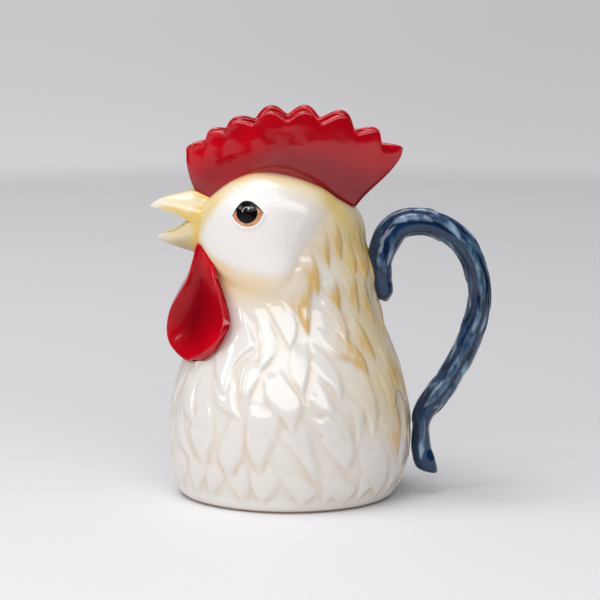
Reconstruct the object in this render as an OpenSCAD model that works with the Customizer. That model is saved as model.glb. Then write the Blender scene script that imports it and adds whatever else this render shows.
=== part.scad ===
// Rooster pitcher in glazed earthenware: a hollow body and head, an open comb that is the filling
// mouth, an open beak that is the spout, two wattles, two domed eyes and a looped tail handle.
// The foot's centre is the origin. The beak points to -X, the handle to +X, and +Z is up.

/* [Body] */
// Length of the foot, beak side to handle side
foot_l = 122; // [105:1:136]
// Width of the foot
foot_w = 115; // [95:1:130]
// Height of the belly's widest place above the table
belly_z = 38; // [30:1:46]
// Reach of the belly from the axis to the beak side
belly_front = 73; // [66:0.5:82]
// Reach of the belly from the axis to the handle side
belly_back = 77.5; // [70:0.5:86]
// Width of the belly
belly_w = 134; // [115:1:160]
// Thickness of the cast wall
wall = 4.5; // [3.5:0.1:5.5]
// Width of the flat ring that the pitcher stands on
foot_ring = 9; // [7:0.5:11]
// Depth of the recess inside the foot ring
foot_recess = 1.2; // [0.8:0.1:1.6]

/* [Neck and head] */
// Rise from the belly's widest place to the throat
neck_rise = 95; // [80:1:110]
// Reach of the throat towards the beak
neck_front = 49; // [45:0.5:54]
// Reach of the nape at the height of the throat
neck_back = 56.5; // [51:0.5:62]
// Width of the neck at the height of the throat
neck_w = 84; // [74:1:100]
// Rise from the throat to the cheeks
head_rise = 27; // [22:1:32]
// Reach of the face from the axis
head_front = 56.2; // [51:0.5:62]
// Reach of the back of the head
head_back = 49.5; // [45:0.5:56]
// Width across the cheeks
head_w = 80; // [70:1:94]
// Rise from the cheeks to the comb's root at the brow
brow_rise = 20.6; // [18:0.2:25]
// Rise from the cheeks to the comb's root at the nape
nape_rise = 18.5; // [15:0.5:23]
// Rise from the cheeks to the comb's root over the eyes
crown_rise = 41.3; // [36:0.5:46]

/* [Comb] */
// Reach of the comb's root towards the beak
root_front = 50.2; // [46:0.2:55]
// Reach of the comb's root towards the handle
root_back = 43; // [38:0.5:48]
// Width of the comb at its root
root_w = 29; // [26:0.5:36]
// How far the comb flares to the front above its root
flare_front = 9.8; // [8:0.2:12]
// How far the comb flares to the back above its root
flare_back = 27; // [22:0.5:32]
// How far each side wall flares outwards
flare_side = 3.6; // [2.6:0.2:5]
// Height of the comb's wall at its two ends
comb_h = 30.6; // [26:0.2:36]
// Height of the comb's wall at its middle, below the teeth
comb_mid_h = 30; // [26:0.5:36]
// Height of the tallest tooth
tooth_h = 9; // [7:0.2:11]
// Thickness of the comb's side walls
comb_wall = 4.2; // [3.4:0.1:5]
// Thickness of the comb at its two ends
comb_end_wall = 8; // [6.5:0.5:9.5]

/* [Beak] */
// Length of the upper beak in front of the face
upper_beak_l = 26; // [22:0.5:30]
// Height of the upper beak at the face
upper_beak_h = 18.7; // [16:0.5:21]
// Length of the lower beak in front of the face
lower_beak_l = 21.6; // [18:0.5:25]
// Height of the lower beak at the face
lower_beak_h = 20.3; // [17:0.5:23]
// Width of both beaks at the face
beak_w = 25; // [21:0.5:29]
// Rise from the cheeks to the corner of the mouth
mouth_rise = 10.3; // [8.5:0.5:12]
// Diameter of the pouring hole behind the beak
throat_d = 12; // [10:0.5:14]

/* [Wattles] */
// Length of a wattle from its tip at the beak to its lower edge
wattle_l = 71; // [60:1:80]
// Width of a wattle seen from the side
wattle_w = 39.6; // [33:0.5:44]
// How far the wattle's front edge stands out from the throat
wattle_reach = 24; // [20:0.5:28]
// Drop of the wattle's tip below the corner of the mouth
wattle_drop = 12.8; // [10:0.5:15]
// Distance between the two wattles
wattle_gap = 3; // [2.4:0.2:4]
// Thickness of the wattle's rolled edge
wattle_edge = 5; // [4:0.2:6]
// Depth of the dished face
wattle_dish = 6; // [4.6:0.2:7.4]

/* [Eyes] */
// Diameter of an eye's dome
eye_d = 17.6; // [14:0.2:20]
// How far the dome stands out from the face
eye_bulge = 2.6; // [2:0.2:3.2]
// Reach of the eyes towards the beak
eye_reach = 22.8; // [18:0.5:28]
// Rise from the cheeks to the middle of the eyes
eye_rise = 19.5; // [16:0.5:22]

/* [Handle] */
// Reach of the loop's centre line behind the belly
bow_reach = 40.8; // [34:0.5:48]
// Height of the handle's lower end above the table
tail_z = 13; // [9:0.5:17]
// Rise of the loop's centre line above the cheeks
loop_rise = 9; // [6:0.5:12]
// Thickness of the handle seen from the side, at the top of its loop
handle_t = 18.2; // [15:0.2:21]
// Width of the handle across its loop
handle_w = 19; // [16:0.5:22]

/* [Hidden] */

// Heights that stack up from the foot
neck_z = belly_z + neck_rise;
head_z = neck_z + head_rise;
brow_z = head_z + brow_rise;
nape_z = head_z + nape_rise;
crown_z = head_z + crown_rise;
mouth_z = head_z + mouth_rise;

// Where the widest place of each section lies along X, as a share of the section's front reach
belly_widest_share = 0.06;
neck_widest_share = 0.04;
head_widest_share = -0.04;
root_widest_share = -0.3;
rim_widest_share = 0.05;

// A section lies across the body. Its fields are, in order: height at the front, at the back and at
// the sides, reach to the front and to the back, half width, place of the widest point along X, and
// four powers. The first two round the outline at the front and the back, where 2 is an ellipse, and
// the last two say how fast the section arches up from the front and from the back.
belly_round_shares = [1.85, 2, 2, 2];
neck_round_shares = [1.8, 2, 2, 2];
head_round_shares = [1.75, 2, 2, 2];
root_round_shares = [2.1, 1.7, 2, 2.1];
rim_round_shares = [1.5, 1.45, 1.9, 2.2];
function section(front_z, back_z, side_z, front, back, half_w, widest_share, powers) =
    concat([front_z, back_z, side_z, front, back, half_w, front * widest_share], powers);
foot = section(0, 0, 0, foot_l / 2, foot_l / 2, foot_w / 2, 0, belly_round_shares);
belly = section(belly_z, belly_z, belly_z, belly_front, belly_back, belly_w / 2,
                belly_widest_share, belly_round_shares);
neck = section(neck_z, neck_z, neck_z, neck_front, neck_back, neck_w / 2,
               neck_widest_share, neck_round_shares);
head = section(head_z, head_z, head_z, head_front, head_back, head_w / 2,
               head_widest_share, head_round_shares);
root = section(brow_z, nape_z, crown_z, root_front, root_back, root_w / 2,
               root_widest_share, root_round_shares);
rim = section(brow_z + comb_h, brow_z + comb_h, crown_z + comb_mid_h, root_front + flare_front,
              root_back + flare_back, root_w / 2 + flare_side, rim_widest_share, rim_round_shares);

// A section between a and b, so far up and so far out
function blend(a, b, up, out) = [for (i = [0 : len(a) - 1]) a[i] + (b[i] - a[i]) * (i < 3 ? up : out)];
function ease(t) = t * t * (3 - 2 * t);

// The body swells from the foot in a quarter ellipse, eases in to the neck, eases out to the cheeks
// and closes over the crown in a quarter ellipse
foot_steps = 5;
neck_steps = 9;
head_steps = 4;
crown_steps = 7;
neck_lag_share = 1.2;
body_sections = concat(
    [for (k = [0 : foot_steps - 1]) let (a = 90 * k / foot_steps) blend(foot, belly, 1 - cos(a), sin(a))],
    [for (k = [0 : neck_steps - 1]) let (t = k / neck_steps)
        blend(belly, neck, t, ease(pow(t, neck_lag_share)))],
    [for (k = [0 : head_steps - 1]) let (t = k / head_steps) blend(neck, head, t, ease(t))],
    [for (k = [0 : crown_steps]) let (a = 90 * k / crown_steps) blend(head, root, sin(a), 1 - cos(a))]);
seam = len(body_sections) - 1;
neck_start = foot_steps + neck_steps;
head_start = neck_start + head_steps;

// The comb flares quickly above its root and then stands upright. Its front end does so first, and its
// back end leans out last, in a soft S.
comb_steps = 8;
comb_flare_share = 1.55;
comb_front_share = 2.6;
comb_sections = [for (k = [0 : comb_steps])
    let (t = k / comb_steps, flared = 1 - pow(1 - t, comb_flare_share), s = blend(root, rim, t, flared),
         front = root[3] + (rim[3] - root[3]) * (1 - pow(1 - t, comb_front_share)),
         back = root[4] + (rim[4] - root[4]) * (flared + ease(t)) / 2)
    [for (i = [0 : len(s) - 1]) i == 3 ? front : i == 4 ? back : s[i]]];

// The inside of the body: each outline moved in by the wall, square to itself
function inward(i, reach, height) =
    let (a = body_sections[i - 1], b = body_sections[i + 1], s = body_sections[i],
         along = [b[reach] - a[reach], b[height] - a[height]])
    [s[reach], s[height]] - wall * [along[1], -along[0]] / norm(along);
function inner_section(i) =
    let (front = inward(i, 3, 0), back = inward(i, 4, 1), side = inward(i, 5, 2), s = body_sections[i])
    [front[1], back[1], side[1], front[0], back[0], side[0], s[6], s[7], s[8], s[9], s[10]];
// The inside of the comb, which meets the inside of the body at the comb's root
function comb_inside(s) = [s[0], s[1], s[2], s[3] - comb_end_wall, s[4] - comb_end_wall,
                           s[5] - comb_wall, s[6], s[7], s[8], s[9], s[10]];

// The comb's valleys round each side, as shares of the half turn from the front to the back, the height
// of each tooth as a share of the tallest, and its lean: above 1 its tip lies towards the back. The teeth
// at the two ends are shared by both sides.
valley_shares = [0, 0.193, 0.283, 0.385, 0.488, 0.586, 0.696, 0.808, 1];
tooth_shares = [0.4, 0.55, 0.64, 0.84, 0.82, 1, 0.76, 0.45];
tooth_lean_shares = [1, 0.65, 0.7, 0.95, 1.2, 1.5, 1.9, 1.3];
teeth = len(tooth_shares);
tooth_steps = [for (k = [0 : teeth - 1]) k == 0 || k == teeth - 1 ? 4 : 5];
half_turns = [for (k = [0 : teeth - 1]) for (j = [0 : tooth_steps[k] - 1])
    180 * (valley_shares[k] + (valley_shares[k + 1] - valley_shares[k]) * j / tooth_steps[k])];
turns = concat(half_turns, [180], [for (i = [len(half_turns) - 1 : -1 : 1]) 360 - half_turns[i]]);

// A point of a section at a turn in degrees, from 0 at the front over 90 at the left side
function section_point(s, turn) =
    let (c = cos(turn), fore = c > 0,
         reach = fore ? s[3] + s[6] : s[4] - s[6],
         power = fore ? s[7] : s[8],
         arch = pow(1 - c * c, (fore ? s[9] : s[10]) / 2),
         end_z = s[0] * (1 + c) / 2 + s[1] * (1 - c) / 2)
    [s[6] - reach * c,
     -sign(sin(turn)) * s[5] * pow(max(0, 1 - pow(abs(c), power)), 1 / power),
     end_z + (s[2] - end_z) * arch];
function ring(s) = [for (t = turns) section_point(s, t)];

// Height of the teeth at a turn. Each tooth is a rounded arch between two sharp valleys.
// The teeth at the two ends turn down beyond their tips.
tooth_round_share = 0.8;
tooth_end_share = 0.2;
function tooth_at(turn) =
    let (share = (turn > 180 ? 360 - turn : turn) / 180,
         k = max([for (i = [0 : teeth - 1]) share >= valley_shares[i] ? i : 0]),
         along = (share - valley_shares[k]) / (valley_shares[k + 1] - valley_shares[k]),
         v = k == 0 ? tooth_end_share + (1 - tooth_end_share) * along
             : k == teeth - 1 ? (1 - tooth_end_share) * along : along)
    tooth_h * tooth_shares[k] * pow(abs(sin(180 * pow(v, tooth_lean_shares[k]))), tooth_round_share);
// The teeth fan out a little from the middle of the head, over the upper part of the comb's wall
fan_share = 0.45;
tooth_start_share = 0.55;
function toothed(s, up) =
    let (lift = max(0, up - tooth_start_share) / (1 - tooth_start_share))
    [for (t = turns) let (p = section_point(s, t), away = [p[0] * fan_share, 0, p[2] - head_z])
        p + away * tooth_at(t) * lift / norm(away)];

// Faces between rings of points. A ring that follows another lies above it on the outside of a wall,
// and below it on the inside.
function stitch(from, to, n) =
    [for (i = [0 : n - 1]) let (j = (i + 1) % n) each [[from + i, to + i, to + j], [from + i, to + j, from + j]]];
function stitched(count, n) = [for (k = [0 : count - 2]) each stitch(k * n, (k + 1) * n, n)];
function middle(pts) = [for (c = [0 : 2]) (min([for (p = pts) p[c]]) + max([for (p = pts) p[c]])) / 2];
function joined(rings) = [for (r = rings) for (p = r) p];
// A closed skin with a cap on its first and its last ring
module skin(rings) {
    n = len(rings[0]);
    last = (len(rings) - 1) * n;
    total = len(rings) * n;
    low_cap = [for (i = [0 : n - 1]) [total, i, (i + 1) % n]];
    high_cap = [for (i = [0 : n - 1]) [total + 1, last + (i + 1) % n, last + i]];
    polyhedron(concat(joined(rings), [middle(rings[0]), middle(rings[len(rings) - 1])]),
               concat(low_cap, stitched(len(rings), n), high_cap), convexity = 8);
}

// A smooth curve through points, with so many steps from each point to the next
function curve_point(p, q, r, s, t) =
    (2 * q + (r - p) * t + (2 * p - 5 * q + 4 * r - s) * t * t + (3 * q - p - 3 * r + s) * t * t * t) / 2;
function curve(pts, steps) = let (last = len(pts) - 1) concat(
    [for (i = [0 : last - 1]) for (j = [0 : steps - 1])
        curve_point(pts[max(i - 1, 0)], pts[i], pts[i + 1], pts[min(i + 2, last)], j / steps)], [pts[last]]);
function closed_curve(pts, steps) = let (n = len(pts))
    [for (i = [0 : n - 1]) for (j = [0 : steps - 1])
        curve_point(pts[(i + n - 1) % n], pts[i], pts[(i + 1) % n], pts[(i + 2) % n], j / steps)];

// The filled outside of the body and the comb's wall, from one ring to another, on which the added
// pieces seat
outside_rings = concat([for (s = body_sections) ring(s)],
                       [for (k = [1 : comb_steps]) ring(comb_sections[k])]);
module filled_outside(from, to) {
    skin([for (k = [from : to]) outside_rings[k]]);
}

// A point on the left cheek, at an angle up the quarter ellipse over the cheek and a reach towards
// the beak
function cheek_point(angle, reach) =
    let (s = blend(head, root, sin(angle), 1 - cos(angle)))
    section_point(s, acos((s[6] + reach) / (s[3] + s[6])));

// The pouring hole, from inside the head to the open beak
module throat() {
    inner_end = head_front - 3 * wall;
    outer_end = head_front + throat_d / 2;
    translate([-outer_end, 0, mouth_z])
        rotate([0, 90, 0])
            cylinder(d = throat_d, h = outer_end - inner_end, $fn = 48);
}

module body() {
    inner_places = concat([for (k = [seam - 1 : -2 : 2]) k], [1]);
    inner = [for (k = inner_places) ring(inner_section(k))];
    ring_share = 1 - 2 * foot_ring / foot_l;
    inside_foot = [for (p = ring(foot)) [p[0] * ring_share, p[1] * ring_share, 0]];
    recess = [for (p = inside_foot) p + [0, 0, foot_recess]];
    color("ivory")
        difference() {
            skin(concat([recess, inside_foot], [for (s = body_sections) ring(s)],
                        [ring(comb_inside(root))], inner));
            throat();
        }
}
body();

module comb() {
    outer = [for (k = [0 : comb_steps]) toothed(comb_sections[k], k / comb_steps)];
    inner = [for (k = [comb_steps : -2 : 0]) toothed(comb_inside(comb_sections[k]), k / comb_steps)];
    n = len(turns);
    top = outer[comb_steps];
    lip = [for (i = [0 : n - 1]) (top[i] + inner[0][i]) / 2 + [0, 0, comb_wall / 4]];
    rings = concat(outer, [lip], inner);
    last = len(rings) - 1;
    // The underside uses the same faces as the top of the body, turned over
    underside = [for (i = [0 : n - 1]) let (j = (i + 1) % n)
        each [[i, last * n + j, last * n + i], [i, j, last * n + j]]];
    color("crimson")
        polyhedron(joined(rings), concat(stitched(len(rings), n), underside), convexity = 8);
}
comb();

// Both beaks are lofted from the face to the tip. Each row has the place along the beak, the height
// of its lower and its upper edge, and its width.
upper_beak_shares = [[-0.35, 0, 0.6, 1.1], [-0.12, 0, 0.86, 1.05], [0.04, 0, 1, 0.98], [0.2, 0.17, 0.94, 0.85],
                     [0.42, 0.29, 0.87, 0.67], [0.68, 0.36, 0.77, 0.44], [0.88, 0.41, 0.64, 0.24],
                     [1, 0.44, 0.5, 0.06]];
lower_beak_shares = [[-0.4, 0, 1, 1], [0.04, 0, 1, 0.94], [0.27, 0.2, 0.89, 0.76], [0.55, 0.3, 0.79, 0.55],
                     [0.85, 0.38, 0.67, 0.3], [1, 0.45, 0.58, 0.12]];
beak_sides = 16;
// How far the mouth side of a beak is hollowed, as a share of the beak's height there
beak_hollow_share = 0.3;
beak_ridge_share = 0.85;
module beak(rows, l, h, side) {
    rings = [for (r = rows) [for (i = [0 : beak_sides - 1])
        let (a = 360 * i / beak_sides, deep = r[2] - r[1], s = sin(a),
             z = s >= 0 ? r[1] + deep * pow(s, beak_ridge_share) : r[1] + deep * beak_hollow_share * pow(-s, 2))
        [-head_front - l * r[0], -side * cos(a) * beak_w / 2 * r[3], mouth_z + side * h * z]]];
    difference() {
        skin(rings);
        filled_outside(neck_start, seam + comb_steps - 1);
        throat();
    }
}
module upper_beak() {
    color("khaki") beak(upper_beak_shares, upper_beak_l, upper_beak_h, 1);
}
upper_beak();

module lower_beak() {
    color("khaki") beak(lower_beak_shares, lower_beak_l, lower_beak_h, -1);
}
lower_beak();

// Outline of a wattle from its tip down the front edge and up the rear edge: how far back it lies from
// the foremost point, as a share of the wattle's width, and how far down, as a share of its length
wattle_shares = [[0.5, 0], [0.415, 0.145], [0.32, 0.315], [0.17, 0.465], [0.045, 0.61], [0, 0.765],
                 [0.045, 0.885], [0.195, 0.97], [0.36, 1], [0.6, 0.965], [0.81, 0.845], [0.96, 0.7],
                 [1, 0.6], [0.935, 0.46], [0.815, 0.285], [0.71, 0.145]];
wattle_steps = 2;
// The face turns away from the middle towards the rear, the more the lower, from a first distance at the
// front edge
wattle_turn_shares = [0.4, 0.85];
// The rim lies on the face inside the outline, which shrinks towards a place near the front edge
wattle_rim_share = 0.86;
wattle_front_share = 0.7;
wattle_fold_shares = [0.32, 0.36];
// The dish: how wide each of its rings is, and how deep
wattle_dish_shares = [[0.72, 0.45], [0.4, 0.85]];
module wattle() {
    outline = closed_curve(wattle_shares, wattle_steps);
    front_x = -neck_front - wattle_reach;
    top_z = mouth_z - wattle_drop;
    half_gap = wattle_gap / 2;
    function shrunk(share) = [for (p = outline) wattle_fold_shares + (p - wattle_fold_shares) * share];
    function face_y(p) = half_gap + wattle_edge * wattle_front_share
        + wattle_w * p[0] * (wattle_turn_shares[0] + wattle_turn_shares[1] * p[1]);
    function placed(pts, sunk) = [for (p = pts)
        [front_x + wattle_w * p[0], -max(half_gap, face_y(p) - sunk), top_z - wattle_l * p[1]]];
    back = [for (p = placed(outline, 0)) [p[0], -half_gap, p[2]]];
    edge = [for (p = placed(outline, wattle_edge)) [p[0], min(p[1], -half_gap - wattle_edge / 4), p[2]]];
    dish = [for (d = wattle_dish_shares) placed(shrunk(d[0] * wattle_rim_share), wattle_dish * d[1])];
    difference() {
        skin(concat([back, edge, placed(shrunk(wattle_rim_share), 0)], dish));
        filled_outside(1, seam);
    }
}
module left_wattle() {
    color("crimson") wattle();
}
left_wattle();

module right_wattle() {
    color("crimson") mirror([0, 1, 0]) wattle();
}
right_wattle();

// A domed eye stands out square to the cheek, at the angle up the cheek that meets its height
module eye() {
    radius = (eye_d * eye_d / 4 + eye_bulge * eye_bulge) / (2 * eye_bulge);
    angles = [for (i = [1 : 89]) i];
    misses = [for (i = angles) abs(cheek_point(i, eye_reach)[2] - head_z - eye_rise)];
    angle = angles[search(min(misses), misses)[0]];
    at = cheek_point(angle, eye_reach);
    across = cheek_point(angle, eye_reach + eye_bulge) - at;
    out = cross(across, cheek_point(angle + 1, eye_reach) - at);
    difference() {
        translate(at + out / norm(out) * (radius - eye_bulge)) sphere(r = radius, $fn = 128);
        filled_outside(neck_start, seam);
    }
}
module left_eye() {
    color("black") eye();
}
left_eye();

module right_eye() {
    color("black") mirror([0, 1, 0]) eye();
}
right_eye();

// Centre line of the handle from its tail to its upper tip: how far out it lies between the body's
// back and the loop's furthest reach, how far up between the tail and the top, and the handle's
// thickness and width there as shares of their largest
handle_shares = [[0.26, 0, 0.4, 0.5], [0.22, 0.03, 0.72, 0.8], [0.18, 0.1, 0.71, 0.85], [0.215, 0.185, 0.73, 0.88],
                 [0.3, 0.25, 0.86, 0.95], [0.465, 0.315, 0.96, 1], [0.67, 0.395, 0.93, 1], [0.925, 0.565, 0.92, 1],
                 [1, 0.7, 0.88, 1], [0.95, 0.83, 0.9, 1], [0.8, 0.925, 0.94, 1], [0.6, 0.983, 0.97, 1],
                 [0.405, 1, 1, 1], [0.2, 0.983, 1.08, 1.1], [0.055, 0.925, 1.15, 1.25], [-0.04, 0.85, 0.95, 1.4],
                 [-0.075, 0.77, 0.72, 1.2], [-0.05, 0.69, 0.2, 0.4]];
handle_steps = 3;
handle_sides = 16;
module handle() {
    rows = curve(handle_shares, handle_steps);
    top_z = head_z + loop_rise;
    line = [for (r = rows) let (near = belly_back + (neck_back - belly_back) * r[1])
        [near + (belly_back + bow_reach - near) * r[0], tail_z + (top_z - tail_z) * r[1]]];
    last = len(line) - 1;
    rings = [for (k = [0 : last])
        let (along = line[min(k + 1, last)] - line[max(k - 1, 0)], dir = along / norm(along),
             half_t = handle_t * rows[k][2] / 2, half_w = handle_w * rows[k][3] / 2)
        [for (i = [0 : handle_sides - 1]) let (a = 360 * i / handle_sides)
            [line[k][0] + dir[1] * half_t * cos(a), half_w * sin(a), line[k][1] - dir[0] * half_t * cos(a)]]];
    color("steelblue")
        difference() {
            skin(rings);
            filled_outside(1, seam);
        }
}
handle();
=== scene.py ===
import math

import bpy
import numpy as np
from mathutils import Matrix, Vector


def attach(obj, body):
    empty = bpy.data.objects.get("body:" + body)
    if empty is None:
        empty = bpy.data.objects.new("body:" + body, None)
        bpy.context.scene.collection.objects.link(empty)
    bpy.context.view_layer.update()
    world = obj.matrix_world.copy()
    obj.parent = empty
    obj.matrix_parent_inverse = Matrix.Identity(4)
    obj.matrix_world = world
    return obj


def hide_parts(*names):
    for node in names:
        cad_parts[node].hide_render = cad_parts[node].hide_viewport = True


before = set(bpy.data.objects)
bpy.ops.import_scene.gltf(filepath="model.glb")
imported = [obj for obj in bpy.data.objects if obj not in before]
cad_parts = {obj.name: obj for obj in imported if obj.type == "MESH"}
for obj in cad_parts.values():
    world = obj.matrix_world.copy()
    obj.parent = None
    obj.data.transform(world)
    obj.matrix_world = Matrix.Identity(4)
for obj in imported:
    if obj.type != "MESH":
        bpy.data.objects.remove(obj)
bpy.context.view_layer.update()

mm = 0.001
sharpAngle = 55  # degrees between two faces from which their edge is shaded sharp


def ease(t):
    return t * t * (3 - 2 * t)


def fade(value, start, end):  # 0 at start, 1 at end, eased between
    return ease(np.clip((value - start) / (end - start), 0, 1))


def unit(vectors):
    return vectors / (np.linalg.norm(vectors, axis=-1, keepdims=True) + 1e-12)


def throughPoints(points, steps, closed=False):  # smooth curve through points, as in the CAD
    points = np.array(points, float)
    count = len(points)
    found = []
    for i in range(count if closed else count - 1):
        if closed:
            p, q, r, s = (points[(i + k) % count] for k in (-1, 0, 1, 2))
        else:
            p, q, r, s = points[max(i - 1, 0)], points[i], points[i + 1], points[min(i + 2, count - 1)]
        for j in range(steps):
            t = j / steps
            found.append((2 * q + (r - p) * t + (2 * p - 5 * q + 4 * r - s) * t * t
                          + (3 * q - p - 3 * r + s) * t ** 3) / 2)
    if not closed:
        found.append(points[-1])
    return np.array(found)


def gridFaces(rows, columns, closedRows=False):  # quads of a grid that closes along its columns
    a = np.arange(rows if closedRows else rows - 1)[:, None]
    b = np.arange(columns)[None, :]
    below, above = a % rows * columns, (a + 1) % rows * columns
    after = (b + 1) % columns
    return np.stack([below + b, below + after, above + after, above + b], -1).reshape(-1, 4)


def cappedFaces(rows, columns):  # the grid with a fan on its first and its last row, round two added points
    last, total = (rows - 1) * columns, rows * columns
    return (gridFaces(rows, columns).tolist()
            + [(total, (i + 1) % columns, i) for i in range(columns)]
            + [(total + 1, last + i, last + (i + 1) % columns) for i in range(columns)])


def cappedPoints(rows):  # the rows, then the middle of the first and of the last one
    return np.concatenate([*rows, rows[0].mean(0)[None], rows[-1].mean(0)[None]])


def cappedField(values, first, last):
    return np.concatenate([np.ravel(values), [first, last]])


def gridNormals(grid):  # grid of points that closes along its columns
    along = np.roll(grid, -1, axis=1) - np.roll(grid, 1, axis=1)
    return unit(np.cross(along, np.gradient(grid, axis=0)))


def soften(field, times):  # evens a field out over its neighbours on a grid that closes along its columns
    for _ in range(times):
        field = (field + np.roll(field, 1, 1) + np.roll(field, -1, 1)) / 3
        padded = np.concatenate([field[:1], field, field[-1:]])
        field = (padded[:-2] + padded[1:-1] + padded[2:]) / 3
    return field


def wholeRing(half):  # the other side is the mirror image
    other = half[:, -2:0:-1]
    return np.concatenate([half, other * [1, -1, 1] if half.ndim == 3 else other], axis=1)


def carvedIn(grid, height, depth, middle):  # moves the points in by what the height leaves of the depth
    normals = gridNormals(grid)
    outward = np.sign((normals * (grid - middle)).sum(-1).mean())
    return grid - normals * (outward * (1 - height) * depth)[..., None]


def addObject(name, data):
    made = bpy.data.objects.new(name, data)
    bpy.context.scene.collection.objects.link(made)
    return made


def newMesh(name, points, faces, scale=mm):
    mesh = bpy.data.meshes.new(name)
    mesh.from_pydata((np.asarray(points) * scale).tolist(), [], [list(f) for f in faces])
    return mesh


def makePiece(name, points, faces, material, nodes, fields):
    mesh = newMesh(name, points, faces)
    mesh.validate()
    piece = addObject(name, mesh)
    for fieldName, values in fields.items():
        layer = mesh.attributes.new(fieldName, "FLOAT", "POINT")
        layer.data.foreach_set("value", np.asarray(values, np.float32).ravel())
    mesh.materials.append(material)
    mesh.shade_smooth()
    mesh.set_sharp_from_angle(angle=math.radians(sharpAngle))
    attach(piece, "root")
    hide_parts(*nodes)
    print("made", name, len(mesh.vertices), "points")
    return piece


# camera, lamps, floor and room
studio = {
    "cameraPlace": (0.00865, -2.2, 0.495), "cameraTilt": 9.66, "lens": 218.7, "sensor": 36,
    "floorSeen": (0.85, 0.845, 0.86), "floorBounce": (0.68, 0.65, 0.64), "floorRoughness": 0.6,
    "floorSpecular": 0.1, "floorMiddle": 0.45, "floorRadius": 1.18, "floorRings": 5, "floorSides": 64,
    # the floor fades out at its edge, and towards the back down to the last value
    "floorFade": (0.96, 1.15), "floorBack": (0.06, 0.36, 0.4),
    # the backdrop that the camera sees; its zones are parts of the view's direction
    "backdropLow": (0.70, 0.693, 0.715), "backdropHigh": (0.585, 0.575, 0.595), "backdropShade": 0.10,
    "backdropRise": (-0.17, -0.09), "backdropSide": (-0.08, 0.08),
    # the room that shows in the glaze is dark, with pale zones above, at the back and low at the left
    "roomDark": (0.012, 0.012, 0.014), "roomHigh": (0.36, 0.36, 0.38), "highZone": (0.45, 0.9),
    "roomBack": (0.45, 0.45, 0.47), "backZone": (0.6, 0.85), "backTop": (0.1, 0.4),
    "roomLeft": (0.62, 0.62, 0.64), "leftSlant": 3.0, "leftZone": (-0.75, -0.67), "leftFront": (-0.3, -0.12),
    "leftTop": (-0.04, 0.04),
    # place, target, width, height and power
    "lamps": {"FrontBox": ((-0.24, -1.68, 1.06), (0, 0, 0.13), 3.2, 0.7, 25.5),
              "LeftBox": ((-1.9, -0.3, 0.9), (0, 0, 0.12), 1.6, 1.4, 9),
              "LeftStrip": ((-1.7, -0.55, 0.75), (0, 0, 0.12), 0.2, 0.45, 2.6),
              "RightBox": ((1.6, -1.1, 0.9), (0, 0, 0.12), 1.4, 1.2, 4),
              "TopBox": ((-0.3, -0.1, 1.9), (0, 0, 0.1), 1.2, 0.9, 15)},
    "unreflected": ("LeftBox", "RightBox"),
}
cameraData = bpy.data.cameras.new("Camera")
cameraData.lens, cameraData.sensor_width = studio["lens"], studio["sensor"]
camera = addObject("Camera", cameraData)
camera.location = studio["cameraPlace"]
camera.rotation_euler = (math.radians(90 - studio["cameraTilt"]), 0, 0)
bpy.context.scene.camera = camera
bpy.context.scene.view_settings.view_transform = "Standard"

for lampName, (lampPlace, target, width, height, power) in studio["lamps"].items():
    data = bpy.data.lights.new(lampName, "AREA")
    data.shape = "RECTANGLE"
    data.size, data.size_y, data.energy = width, height, power
    lamp = addObject(lampName, data)
    lamp.location = lampPlace
    lamp.rotation_euler = (Vector(target) - Vector(lampPlace)).to_track_quat("-Z", "Y").to_euler()
    lamp.visible_camera, lamp.visible_glossy = False, lampName not in studio["unreflected"]


def nodeTree(name):
    material = bpy.data.materials.new(name)
    material.use_nodes = True
    tree = material.node_tree
    return material, tree, tree.nodes["Principled BSDF"]


def addNode(tree, kind, values=None, inputs=None):
    node = tree.nodes.new(kind)
    for key, value in (values or {}).items():
        setattr(node, key, value)
    for key, value in (inputs or {}).items():
        if isinstance(value, bpy.types.NodeSocket):
            tree.links.new(value, node.inputs[key])
        else:
            node.inputs[key].default_value = value
    return node


def mathNode(tree, operation, a, b):
    return addNode(tree, "ShaderNodeMath", {"operation": operation}, {0: a, 1: b}).outputs[0]


def product(tree, a, b):
    return mathNode(tree, "MULTIPLY", a, b)


def mapRange(tree, value, low, high, start=0.0, end=1.0):
    return addNode(tree, "ShaderNodeMapRange", {"interpolation_type": "SMOOTHSTEP"},
                   {"Value": value, "From Min": low, "From Max": high, "To Min": start,
                    "To Max": end}).outputs["Result"]


def noise(tree, scale, detail=3.0, stretch=(1, 1, 1), distortion=0.0):
    place = addNode(tree, "ShaderNodeTexCoord").outputs["Object"]
    mapped = addNode(tree, "ShaderNodeMapping", None, {"Vector": place, "Scale": stretch})
    return addNode(tree, "ShaderNodeTexNoise", None,
                   {"Vector": mapped.outputs[0], "Scale": scale, "Detail": detail,
                    "Distortion": distortion}).outputs["Fac"]


def field(tree, name):
    return addNode(tree, "ShaderNodeAttribute", {"attribute_name": name}).outputs["Fac"]


def mixColour(tree, factor, a, b):
    node = addNode(tree, "ShaderNodeMix", {"data_type": "RGBA"})
    for socket, value in ((node.inputs[0], factor), (node.inputs[6], a), (node.inputs[7], b)):
        if isinstance(value, bpy.types.NodeSocket):
            tree.links.new(value, socket)
        else:
            socket.default_value = (*value, 1)
    return node.outputs[2]


def layered(tree, colour, *layers):  # each layer is its amount, or the field that holds it, and its colour
    for amount, over in layers:
        amount = field(tree, amount) if isinstance(amount, str) else amount
        colour = mixColour(tree, amount, colour, over)
    return colour


def vary(tree, shader, socketName, fieldName, start, end):  # from start where the field is 0 to end where it is 1
    tree.links.new(mapRange(tree, field(tree, fieldName), 0.0, 1.0, start, end), shader.inputs[socketName])


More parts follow.
